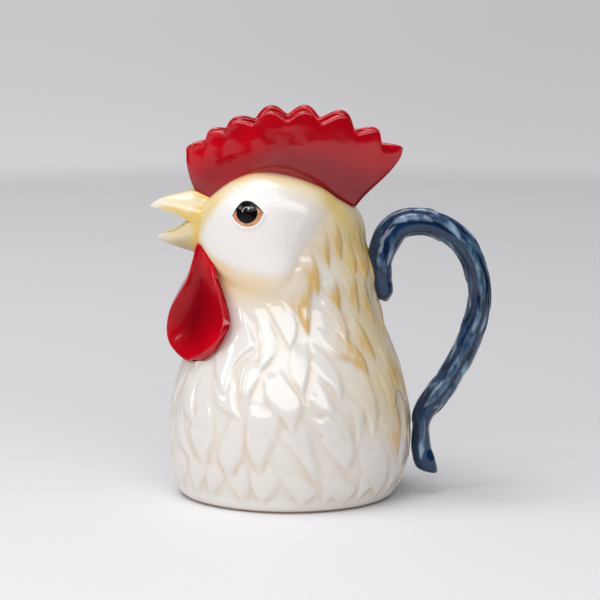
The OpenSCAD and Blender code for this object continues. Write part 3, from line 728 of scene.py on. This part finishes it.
# beaks, lofted from the face to the tip
beak = {
    "width": 25, "sides": 72, "steps": 8, "hollow": 0.12, "ridge": 0.85, "collar": 0.2, "rootShares": (0.05, 0.45),
    # side is up or down, edge is how much yellow it has there and underShade how much painted grey shade it has
    # below; the rows give the place along the beak, the height of the lower and the upper edge, and the width
    "upper": {"length": 26, "height": 18.7, "side": 1, "edge": 1, "underShade": 0, "rows": [
        (-0.12, 0, 0.9, 1.04), (0.04, 0, 1, 0.98), (0.18, 0.015, 0.95, 0.87), (0.3, 0.14, 0.91, 0.77),
        (0.42, 0.27, 0.87, 0.67), (0.68, 0.36, 0.77, 0.44), (0.88, 0.41, 0.64, 0.24), (1, 0.44, 0.5, 0.06)]},
    "lower": {"length": 21.6, "height": 20.3, "side": -1, "edge": 0.4, "underShade": 1, "rows": [
        (-0.14, 0, 1, 1), (0.04, 0, 1, 0.94), (0.2, 0.015, 0.93, 0.82), (0.34, 0.17, 0.87, 0.71),
        (0.55, 0.3, 0.79, 0.55), (0.85, 0.38, 0.67, 0.3), (1, 0.45, 0.58, 0.12)]},
}
# shares up the side, from 0 at the mouth's corner to 1 on the ridge, and shares along the beak
beakPaint = {
    "edge": (0.02, 0.26), "edgeAlong": (0.6, 0.95), "below": 0.2, "belowAlong": (0.5, 1),
    "root": 0.95, "rootAlong": (0.02, 0.26), "underShade": (0.15, 0.7), "underShadeLoss": (0.9, 0.7), "underShadeAlong": (0.3, 0.9),
    "tipAlong": (0.5, 1), "inside": (-0.05, 0.1),
    "noise": (110.0, 3.0, (0.5, 1, 1)), "patches": (0.25, 0.7, 0.6, 1.0),
}
# inside is the mouth's yellow made brighter, as painted light where the upper beak shades it
beakColours = {"cream": (0.86, 0.76, 0.54), "yellow": (0.80, 0.53, 0.09), "underShade": (0.55, 0.44, 0.24),
               "tip": (0.84, 0.80, 0.74), "inside": (0.98, 0.84, 0.46)}
yellowGlaze, tree, shader = nodeTree("YellowGlaze")
patches = mapRange(tree, noise(tree, *beakPaint["noise"]), *beakPaint["patches"])
glazeOver(tree, shader, layered(
    tree, beakColours["cream"], ("tip", beakColours["tip"]), ("underShade", beakColours["underShade"]),
    (product(tree, field(tree, "deep"), patches), beakColours["yellow"]), ("inside", beakColours["inside"])))

# the sections from the neck up to the comb's rim, and how far out on them the face is followed
faceSections = np.array([bodySection(v) for v in np.linspace(2, 4, 120)]
                        + [combSection(t) for t in np.linspace(0.02, 1, 40)])
widestFace = 0.97


def faceX(y, z):  # the face's surface near the middle
    s = [np.interp(z, faceSections[:, 0], faceSections[:, k]) for k in range(8)]
    c = np.maximum(0, 1 - np.minimum(np.abs(y) / s[5], widestFace) ** s[7]) ** (1 / s[7])
    return s[6] - (s[3] + s[6]) * c


def makeBeak(name, half, node):
    angles = np.linspace(0, 2 * math.pi, beak["sides"], endpoint=False)
    s = np.sin(angles)
    rings, deep, underShade, tip, inside = [], [], [], [], []
    for along, low, high, wide in throughPoints(half["rows"], beak["steps"]):
        up = np.where(s >= 0, low + (high - low) * np.abs(s) ** beak["ridge"],
                      low + (high - low) * beak["hollow"] * s * s)
        y = -half["side"] * np.cos(angles) * beak["width"] / 2 * wide
        z = heights["mouth"] + half["side"] * half["height"] * up
        straight = -headSection[3] - half["length"] * along
        onFace = faceX(y, z) - half["length"] * along - beak["collar"]
        rooted = 1 - fade(along, *beak["rootShares"])
        rings.append(np.stack([straight + (onFace - straight) * rooted, y, z], -1))
        at, spread = beakPaint["edge"]
        edge = half["edge"] * np.exp(-((s - at) / spread) ** 2) * (1 - fade(along, *beakPaint["edgeAlong"]))
        below = np.where(s < 0, beakPaint["below"], 0) * (1 - fade(along, *beakPaint["belowAlong"]))
        root = beakPaint["root"] * (1 - fade(along, *beakPaint["rootAlong"]))
        deep.append(np.clip(edge + below + root, 0, 1))
        most, loss = beakPaint["underShadeLoss"]
        # painted shade: grey on the lower beak's underside, lessening towards the tip
        underShade.append(fade(s, *beakPaint["underShade"]) * half["underShade"] * (most - loss * fade(along, *beakPaint["underShadeAlong"])))
        tip.append(fade(along, *beakPaint["tipAlong"]) + 0 * s)
        # the mouth's inside: partly its own yellow, partly painted light that lifts the upper beak's shadow
        inside.append(fade(-s, *beakPaint["inside"]))
    makePiece(name, cappedPoints(rings), cappedFaces(len(rings), beak["sides"]), yellowGlaze, [node],
              {"deep": cappedField(deep, 1, 0), "underShade": cappedField(underShade, 0, 0), "tip": cappedField(tip, 0, 1),
               "inside": cappedField(inside, 0, 0)})


makeBeak("UpperBeak", beak["upper"], "upper_beak")
makeBeak("LowerBeak", beak["lower"], "lower_beak")
print("beaks done")

# wattles: a dished face with a rolled rim, and a slanted band below it at the rear
wattle = {
    "length": 71, "width": 39.6, "reach": 24, "drop": 12.8, "gap": 3, "edge": 5, "dish": 7.5, "steps": 10,
    "outline": [(0.5, 0), (0.415, 0.145), (0.32, 0.315), (0.17, 0.465), (0.045, 0.61), (0, 0.765),
                (0.045, 0.885), (0.195, 0.97), (0.36, 1), (0.6, 0.965), (0.81, 0.845), (0.96, 0.7),
                (1, 0.6), (0.935, 0.46), (0.815, 0.285), (0.71, 0.145)],
    # height, place of the valley across the wattle, width of the rolled rim, depth of the dish
    "valley": [(0, 0.55, 0.03, 0), (0.12, 0.53, 0.05, 0.25), (0.3, 0.51, 0.08, 0.8), (0.45, 0.5, 0.09, 1),
               (0.62, 0.45, 0.11, 1), (0.76, 0.4, 0.12, 0.85), (0.86, 0.36, 0.14, 0.5), (0.95, 0.3, 0.14, 0),
               (1, 0.3, 0.15, 0)],
    "valleyRange": (0.2, 0.75), "rimShare": 0.55, "sharpness": 1.7,
    # the front edge's radius and how deep it rounds
    "frontRound": (1.5, 1.4), "turn": (0.4, 0.85), "front": 0.7, "least": 0.8,
    # the line where the band leaves the rim, from the lowest place to the rear
    "crest": [(0.345, 1), (0.4, 0.965), (0.48, 0.93), (0.6, 0.878), (0.73, 0.82), (0.82, 0.755), (0.875, 0.67),
              (0.885, 0.57), (0.84, 0.45), (0.75, 0.3)],
    "band": 4.6, "bandPower": 1.15, "bandTop": 0.28, "rows": 130, "columns": 96, "ends": (0.02, 0.98),
    "curveSteps": 8, "soften": 5, "wallRows": 4,
    # amounts of the deep red painted as shade in the dish, on the band and at the back, and where the dish's coat
    # ends
    "hollow": 0.9, "dishShadePower": 1.2, "bandShade": 0.35, "backShade": 0.2, "dullEdge": (-1, 0.5),
}


def makeWattle(name, side, node):
    outline = throughPoints(wattle["outline"], wattle["steps"], closed=True)
    lowest = int(outline[:, 1].argmax())
    front, rear = outline[:lowest + 1], np.concatenate([outline[lowest:], outline[:1]])[::-1]
    down = (1 - np.cos(math.pi * np.linspace(*wattle["ends"], wattle["rows"]))) / 2 * outline[:, 1].max()
    across = (1 - np.cos(math.pi * np.linspace(0, 1, wattle["columns"]))) / 2
    left, right = (np.interp(down, np.maximum.accumulate(run[:, 1]), run[:, 0])[:, None] for run in (front, rear))
    x = left + (right - left) * across[None]
    z = down[:, None] + 0 * x
    knots = throughPoints(wattle["valley"], wattle["curveSteps"])
    valley, roll, deep = (np.interp(down, knots[:, 0], knots[:, k])[:, None] for k in (1, 2, 3))
    valley = left + (right - left) * np.clip((valley - left) / (right - left), *wattle["valleyRange"])
    ridge = right - np.minimum(roll, (right - valley) * wattle["rimShare"])
    away = np.clip(np.where(x < valley, (valley - x) / (valley - left), (x - valley) / (ridge - valley)), 0, 1)
    sunk = wattle["dish"] * deep * (1 - away ** wattle["sharpness"])
    radius, depth = wattle["frontRound"]
    toFrontEdge = np.clip(1 - (x - left) * wattle["width"] / radius, 0, 1)
    sunk = sunk + depth * (1 - np.sqrt(1 - toFrontEdge ** 2))

    size = np.array([wattle["width"], wattle["length"]])
    crest = throughPoints(wattle["crest"], wattle["curveSteps"]) * size
    behind = rear[rear[:, 1] > wattle["bandTop"]] * size
    places = np.stack([x.ravel(), z.ravel()], -1) * size
    onBand = within(places, np.concatenate([crest, behind])).reshape(x.shape)
    toCrest, toOutline = (distanceTo(places, edge).reshape(x.shape) for edge in (crest, behind))
    bandShare = np.where(onBand, toCrest / (toCrest + toOutline + 1e-6), 0)
    sunk = sunk + wattle["band"] * bandShare ** wattle["bandPower"]
    for _ in range(wattle["soften"]):
        padded = np.pad(sunk, 1, mode="edge")
        sunk = (padded[:-2, 1:-1] + padded[2:, 1:-1] + padded[1:-1, :-2] + padded[1:-1, 2:] + 2 * sunk) / 6

    # the face, the flat back and the walls between their edges
    half, (turn, twist) = wattle["gap"] / 2, wattle["turn"]
    face = half + wattle["edge"] * wattle["front"] + wattle["width"] * x * (turn + twist * z)
    place = (-neckSection[3] - wattle["reach"] + wattle["width"] * x,
             heights["mouth"] - wattle["drop"] - wattle["length"] * z)
    fronts, backs = (np.stack([place[0], y, place[1]], -1).reshape(-1, 3)
                     for y in (np.maximum(face - sunk, half + wattle["least"]), half + 0 * face))
    rows, columns = x.shape
    index = np.arange(rows * columns).reshape(rows, columns)
    loop = np.concatenate([index[0], index[1:, -1], index[-1, -2::-1], index[-2:0:-1, 0]])
    walls = [fronts[loop] + (backs[loop] - fronts[loop]) * k / wattle["wallRows"]
             for k in range(1, wattle["wallRows"])]
    points = np.concatenate([fronts, backs, *walls]) * [1, -side, 1]
    quads = np.stack([index[:-1, :-1], index[:-1, 1:], index[1:, 1:], index[1:, :-1]], -1).reshape(-1, 4)
    count, base = len(loop), rows * columns
    bands = [loop] + [2 * base + k * count + np.arange(count) for k in range(len(walls))] + [loop + base]
    faces = quads[:, ::-1].tolist() + (quads + base).tolist()
    for upper, lower in zip(bands[:-1], bands[1:]):
        faces += np.stack([upper, np.roll(upper, -1), np.roll(lower, -1), lower], -1).tolist()
    if side < 0:
        faces = [f[::-1] for f in faces]
    # painted shade in deep red: in the dish's hollow, down the band and on the back and walls
    hollow = (1 - away ** wattle["dishShadePower"]) * deep * wattle["hollow"] + wattle["bandShade"] * bandShare
    dull = 1 - fade((x - ridge) * wattle["width"], *wattle["dullEdge"])
    rest = len(points) - base
    makePiece(name, points, faces, redGlaze, [node],
              {"hollow": np.concatenate([np.clip(hollow, 0, 1).ravel(), np.full(rest, wattle["backShade"])]),
               "dull": np.concatenate([dull.ravel(), np.zeros(rest)])})


makeWattle("LeftWattle", 1, "left_wattle")
makeWattle("RightWattle", -1, "right_wattle")
print("wattles done")

# eyes: a painted dome that blends into the cheek, with a dark lid above, a raised white rim below and a painted
# highlight on the pupil
eye = {
    "reach": 22.8, "rise": 19.5, "size": 12.6, "rings": 90, "sides": 160,
    # the dome's height, spread and middle, the rim's width and height, and how it starts below the middle
    "dome": 1.9, "spread": 7.2, "middle": (-0.6, -0.4), "rim": (2.4, 0.3), "rimStart": (-1.5, 2),
    # the patch lies this high on the cheek and dips into it from this share of its radius
    "lift": 0.03, "dip": 0.2, "dipStart": 0.8,
    # the cheek is fitted with this many powers over these degrees and millimetres: from, to and step
    "fitPowers": 7, "fitAngles": (-24, 25, 3), "fitReach": (-15, 16, 3),
    # the painting's scale and shift; below, millimetres towards the beak and up from the middle
    "scale": 0.95, "forwards": 0.7, "softEdge": 0.12, "pupilEdge": 0.2, "underLid": 0.3, "glossEdge": (0.2, 2),
    # the pupil's middle and half sizes
    "pupil": (-0.5, 0.5, 7.35, 6.8), "highlightDots": ((-2.4, 3.0, 0.6),), "pupilCoat": 0.14, "waves": 0.3,
    "speckle": (500.0, 3.0), "speckleEdge": (0.3, 0.7), "highlightDotEdge": (0.6, 1.2), "glintEdge": (0.5, 2),
    "glint": [(2, 1.4), (0.9, 3.3), (-0.6, 4), (-2.6, 3.7), (-5, 3.3)], "glintHalf": 0.28, "glintStrength": 0.45,
    "lid": [(9.7, -0.9), (7.3, 2.4), (4.6, 5.1), (2, 6.9), (-0.4, 7.4), (-2.8, 7.1), (-5, 6.1), (-8.4, 3),
            (-11.3, -0.7)],
    "low": [(9.7, -0.9), (8.9, -3), (7.3, -5), (3.9, -7.4), (-0.2, -8.4), (-4.3, -7.9), (-7.7, -6), (-10.1, -2.9),
            (-11.3, -0.7)],
    # the lid's line: its width at the corners and on top, the heights between them, and how far it stands out
    "lidWidth": (0.55, 1.2), "lidHeights": (-1, 6), "lidRise": 0.2, "curveSteps": 8,
}
eyeColours = {"iris": (0.60, 0.23, 0.09), "paleIris": (0.74, 0.38, 0.19), "black": (0.003, 0.003, 0.004)}
eyeGlaze, tree, shader = nodeTree("EyeGlaze")
speckle = mapRange(tree, noise(tree, *eye["speckle"]), *eye["speckleEdge"])
irisColour = mixColour(tree, speckle, eyeColours["iris"], eyeColours["paleIris"])
# the eye's patch starts from the cheek's lighter white, partly painted light
glazeOver(tree, shader, layered(tree, bodyColours["cheek"], ("iris", irisColour), ("black", eyeColours["black"]),
                                ("paintedHighlight", bodyColours["white"])), waves=eye["waves"])
vary(tree, shader, "Coat Roughness", "gloss", glaze["satinRoughness"], glaze["coatRoughness"])
vary(tree, shader, "Coat Weight", "black", 1.0, eye["pupilCoat"])


def cheekPoint(angle, reach):
    s = bodySection(3 + angle / 90)
    return sectionPoints(s, [math.degrees(math.acos((s[6] + reach) / (s[3] + s[6])))])[0]


def powersOf(a, b):  # for a smooth fit of the cheek round the eye
    most = eye["fitPowers"]
    return np.stack([a ** i * b ** j for i in range(most) for j in range(most - i)], -1)


def makeEye(name, side, node):
    angle = min(range(1, 90), key=lambda a: abs(cheekPoint(a, eye["reach"])[2] - heights["head"] - eye["rise"]))
    at = cheekPoint(angle, eye["reach"])
    front = unit(cheekPoint(angle, eye["reach"] + 1) - at)
    out = unit(np.cross(cheekPoint(angle + 1, eye["reach"]) - at, front))
    out = out if out[1] < 0 else -out
    up = unit(np.cross(out, front))
    up = up if up[2] > 0 else -up
    around = np.array([cheekPoint(angle + i, eye["reach"] + j) - at
                       for i in range(*eye["fitAngles"]) for j in range(*eye["fitReach"])])
    fit = np.linalg.lstsq(powersOf(around @ front, around @ up), around @ out, rcond=None)[0]

    turns = np.linspace(0, 2 * math.pi, eye["sides"], endpoint=False)
    radii = eye["size"] * np.linspace(0, 1, eye["rings"] + 1)[1:]
    a, b = (np.append((radii[:, None] * part(turns)).ravel(), 0) for part in (np.cos, np.sin))
    places = np.stack([a - eye["forwards"], b], -1) / eye["scale"]
    markA, markB = places.T
    lid, low, glint = (throughPoints(eye[line], eye["curveSteps"]) for line in ("lid", "low", "glint"))
    inside = within(places, np.concatenate([lid, low[::-1]]))
    toLid, toLow, toGlint = (distanceTo(places, line) for line in (lid, low, glint))
    outer = np.where(inside, -1, 1) * np.minimum(toLid, toLow)
    soft = eye["softEdge"]
    iris = 1 - fade(outer, -soft, soft)
    x, y, wide, high = eye["pupil"]
    pupil = (np.hypot((markA - x) / wide, (markB - y) / high) - 1) * wide
    narrow, broad = eye["lidWidth"]
    lidHalf = (narrow + (broad - narrow) * fade(markB, *eye["lidHeights"])) / 2
    line = 1 - fade(toLid, lidHalf - soft, lidHalf + soft)
    inPupil = (1 - fade(pupil, -eye["pupilEdge"], eye["pupilEdge"])) * (inside | (toLid < eye["underLid"]))
    # painted highlight: white dots and an arc on the pupil, where a lamp's reflection shows
    paintedHighlight = sum(1 - fade(np.hypot(markA - x, markB - y) / size, *eye["highlightDotEdge"]) for x, y, size in eye["highlightDots"])
    glow = 1 - fade(toGlint / eye["glintHalf"], *eye["glintEdge"])
    x, y = eye["middle"]
    dome = eye["dome"] * np.exp(-((a - x) ** 2 + (b - y) ** 2) / eye["spread"] ** 2)
    rimWidth, rimHeight = eye["rim"]
    rim = rimHeight * np.sin(math.pi * np.clip(outer / rimWidth, 0, 1)) * fade(-b, *eye["rimStart"])
    height = powersOf(a, b) @ fit + dome + rim + eye["lidRise"] * line
    height = height + eye["lift"] - eye["dip"] * fade(np.hypot(a, b), eye["size"] * eye["dipStart"], eye["size"])
    points = (at + a[:, None] * front + b[:, None] * up + height[:, None] * out) * [1, side, 1]
    count = eye["sides"]
    faces = gridFaces(eye["rings"], count).tolist() + [(len(points) - 1, (i + 1) % count, i) for i in range(count)]
    makePiece(name, points, faces, eyeGlaze, [node],
              {"iris": iris, "black": np.maximum(inPupil, line), "paintedHighlight": np.maximum(paintedHighlight, eye["glintStrength"] * glow),
               "gloss": 1 - fade(outer, *eye["glossEdge"])})


makeEye("LeftEye", 1, "left_eye")
makeEye("RightEye", -1, "right_eye")
print("eyes done")

# handle: a looped tail with carved blades that overlap from the hook at the neck down to the tail
handle = {
    "reach": 40.8, "tailZ": 13, "rise": 9, "thickness": 18.2, "width": 19, "steps": 22, "halfSides": 96,
    # the tail's end slants down to its outer edge over this length
    "finSlant": 3.2, "finLength": 11, "finHalf": 6,
    # out and up along the centre line, thickness and width
    "rows": [(0.245, 0.004, 0.25, 0.35), (0.24, 0.01, 0.72, 0.66), (0.215, 0.045, 0.77, 0.8), (0.185, 0.1, 0.7, 0.85),
             (0.215, 0.185, 0.73, 0.88), (0.3, 0.25, 0.86, 0.95), (0.465, 0.315, 0.96, 1), (0.67, 0.395, 0.93, 1),
             (0.925, 0.565, 0.92, 1), (1, 0.7, 0.88, 1), (0.95, 0.83, 0.9, 1), (0.8, 0.925, 0.94, 1),
             (0.6, 0.983, 0.97, 1), (0.405, 1, 1, 1), (0.2, 0.983, 1.08, 1.1), (0.055, 0.925, 1.15, 1.25),
             (-0.035, 0.85, 1.02, 1.4), (-0.055, 0.775, 0.84, 1.2), (-0.04, 0.715, 0.62, 0.8),
             (-0.03, 0.686, 0.16, 0.2)],
}
blades = {
    "low": 0.1, "rootRise": 0.25, "edge": 1.5, "depth": 1.7, "scale": ([0, 250], [0.162, 0.162]),
    # smooth places by the way from the hook's end, and how little is carved at both ends
    "smoothTail": (214, 232), "smoothHook": (3, 30), "smoothHeight": 0.9, "ends": (2, 12), "soften": 3,
    "ridgeReach": 14, "ridge": 2.2,
    # paleness, the inner edge from the root to the tip, and the outer edge, which ends in the same tip:
    # degrees from the outer curve and millimetres from the hook's end
    "leaves": [
        (1, [(66, 40), (66, 47), (69, 51), (75, 56)], [(57, 46), (42, 51), (42, 56)]),
        (1, [(78, 48), (72, 56), (75, 63), (75, 71)], [(39, 53), (36, 59), (48, 66)]),
        (1, [(87, 65), (72, 72), (75, 80), (84, 91)], [(42, 68), (21, 75), (42, 83)]),
        (1, [(96, 84), (87, 92), (93, 102), (90, 119)], [(33, 83), (39, 90), (51, 102), (63, 110)]),
        (1, [(102, 107), (99, 119), (90, 126), (87, 134)], [(57, 105), (51, 116), (57, 125)]),
        (1, [(117, 126), (105, 137), (108, 145), (105, 152)], [(84, 129), (75, 137), (81, 145)]),
        (1, [(114, 146), (117, 156), (114, 164), (108, 174)], [(90, 146), (72, 155), (84, 167)]),
        (1, [(117, 163), (120, 173), (120, 181), (114, 188)], [(96, 163), (84, 173), (93, 182)]),
        (1, [(129, 176), (141, 187), (126, 196), (114, 206)], [(99, 177), (84, 186), (81, 197)]),
        (1, [(27, 54), (15, 60), (24, 68), (33, 74)], [(15, 55), (3, 61), (-3, 68)]),
        (1, [(57, 120), (51, 129), (51, 140), (60, 149)], [(45, 124), (39, 134), (39, 145)]),
        (1, [(57, 146), (57, 160), (63, 169), (66, 179)], [(42, 147), (12, 159), (-3, 172)]),
        (1, [(75, 172), (72, 182), (69, 192), (66, 204)], [(48, 169), (36, 182), (15, 193)]),
        (1, [(63, 37), (66, 31), (78, 24), (126, 17)], [(72, 40), (93, 33), (114, 25)]),
        (1, [(72, 44), (102, 39), (120, 31), (129, 22)], [(93, 47), (114, 43), (135, 33)]),
        (1, [(105, 26), (135, 19), (171, 11), (174, 3)], [(147, 26), (174, 19), (174, 10)]),
        (1, [(153, 211), (120, 218), (105, 228), (108, 238)], [(105, 207), (69, 216), (60, 228)]),
    ],
    # the outer and the inner curve: degrees, root, tip, width in degrees and paleness
    "plain": [
        (0, 34, 68, 46, 1), (0, 70, 106, 44, 0.7), (26, 88, 120, 34, 0.6), (0, 108, 142, 42, 0.4),
        (24, 126, 156, 30, 0.3), (0, 146, 178, 36, 0.3), (0, 182, 212, 36, 0.3), (180, 50, 86, 60, 0.5),
        (146, 68, 104, 44, 0.6), (180, 88, 122, 60, 0.5), (146, 106, 140, 40, 0.6), (180, 124, 156, 56, 0.5),
        (148, 142, 174, 40, 0.6), (180, 158, 190, 56, 0.5), (150, 176, 206, 40, 0.5), (180, 192, 220, 50, 0.4),
    ],
}
centre = throughPoints(handle["rows"], handle["steps"])
nearX = bellySection[4] + (neckSection[4] - bellySection[4]) * centre[:, 1]
topZ = heights["head"] + handle["rise"]
line = np.stack([nearX + (bellySection[4] + handle["reach"] - nearX) * centre[:, 0],
                 handle["tailZ"] + (topZ - handle["tailZ"]) * centre[:, 1]], -1)
heading = unit(np.gradient(line, axis=0))
travelled = np.concatenate([[0], np.cumsum(np.linalg.norm(np.diff(line, axis=0), axis=1))])
fromHook = travelled[-1] - travelled
halfAngles = np.linspace(0, 180, handle["halfSides"] + 1)  # from the outer curve
turned = np.radians(halfAngles)[None]
halfT, halfW = handle["thickness"] * centre[:, 2:3] / 2, handle["width"] * centre[:, 3:4] / 2
halfTube = np.stack([line[:, :1] + heading[:, 1:] * halfT * np.cos(turned), halfW * np.sin(turned),
                     line[:, 1:] - heading[:, :1] * halfT * np.cos(turned)], -1)
fin = (1 - fade(travelled, 0, handle["finLength"]))[:, None] * np.cos(turned)
halfTube[..., 2] -= handle["finSlant"] * fin * np.minimum(1, halfT / handle["finHalf"])
everywhere = 0 * halfTube[..., 0]
bladeLeaves = blades["leaves"] + [plainLeaf(*leaf) for leaf in blades["plain"]]
bladeHeight, pale = carve(halfAngles[None, :] + everywhere, fromHook[:, None] + everywhere, bladeLeaves, blades)
smooth = np.maximum(fade(fromHook, *blades["smoothTail"]), 1 - fade(fromHook, *blades["smoothHook"]))
bladeHeight = np.maximum(bladeHeight, smooth[:, None] * blades["smoothHeight"])
bladeHeight, pale = (soften(wholeRing(f), blades["soften"]) for f in (bladeHeight, pale))
tube = wholeRing(halfTube)
ends = fade(np.minimum(travelled, fromHook), *blades["ends"])[:, None]
tube = carvedIn(tube, bladeHeight, blades["depth"] * ends, tube.mean(1, keepdims=True))
# darker navy in the grooves and lighter blue on the raised blades
ridgeField = np.clip((bladeHeight - soften(bladeHeight, blades["ridgeReach"])) * blades["ridge"] + 0.5, 0, 1)

blueColours = {"darkNavy": (0.002, 0.010, 0.042), "blue": (0.010, 0.050, 0.135), "pale": (0.24, 0.38, 0.53)}
blueNoise = {"streaks": (190.0, 3.0, (0.7, 1, 0.35), 0.4), "clouds": (60.0, 3.0)}
bluePatches = {"ridge": (0.3, 0.65), "pale": (0.42, 0.60, 0.1, 1.0), "darkNavy": (0.42, 0.7, 0.0, 0.6)}
blueGlaze, tree, shader = nodeTree("BlueGlaze")
streaks, clouds = (noise(tree, *blueNoise[name]) for name in ("streaks", "clouds"))
glazeOver(tree, shader, layered(
    tree, blueColours["darkNavy"], (mapRange(tree, field(tree, "ridge"), *bluePatches["ridge"]), blueColours["blue"]),
    (product(tree, field(tree, "pale"), mapRange(tree, streaks, *bluePatches["pale"])), blueColours["pale"]),
    (mapRange(tree, clouds, *bluePatches["darkNavy"]), blueColours["darkNavy"])))
makePiece("TailHandle", cappedPoints(tube), cappedFaces(*tube.shape[:2]), blueGlaze, ["handle"],
          {"ridge": cappedField(ridgeField, 0.5, 0.5), "pale": cappedField(pale, 0, 0)})
print("handle done")
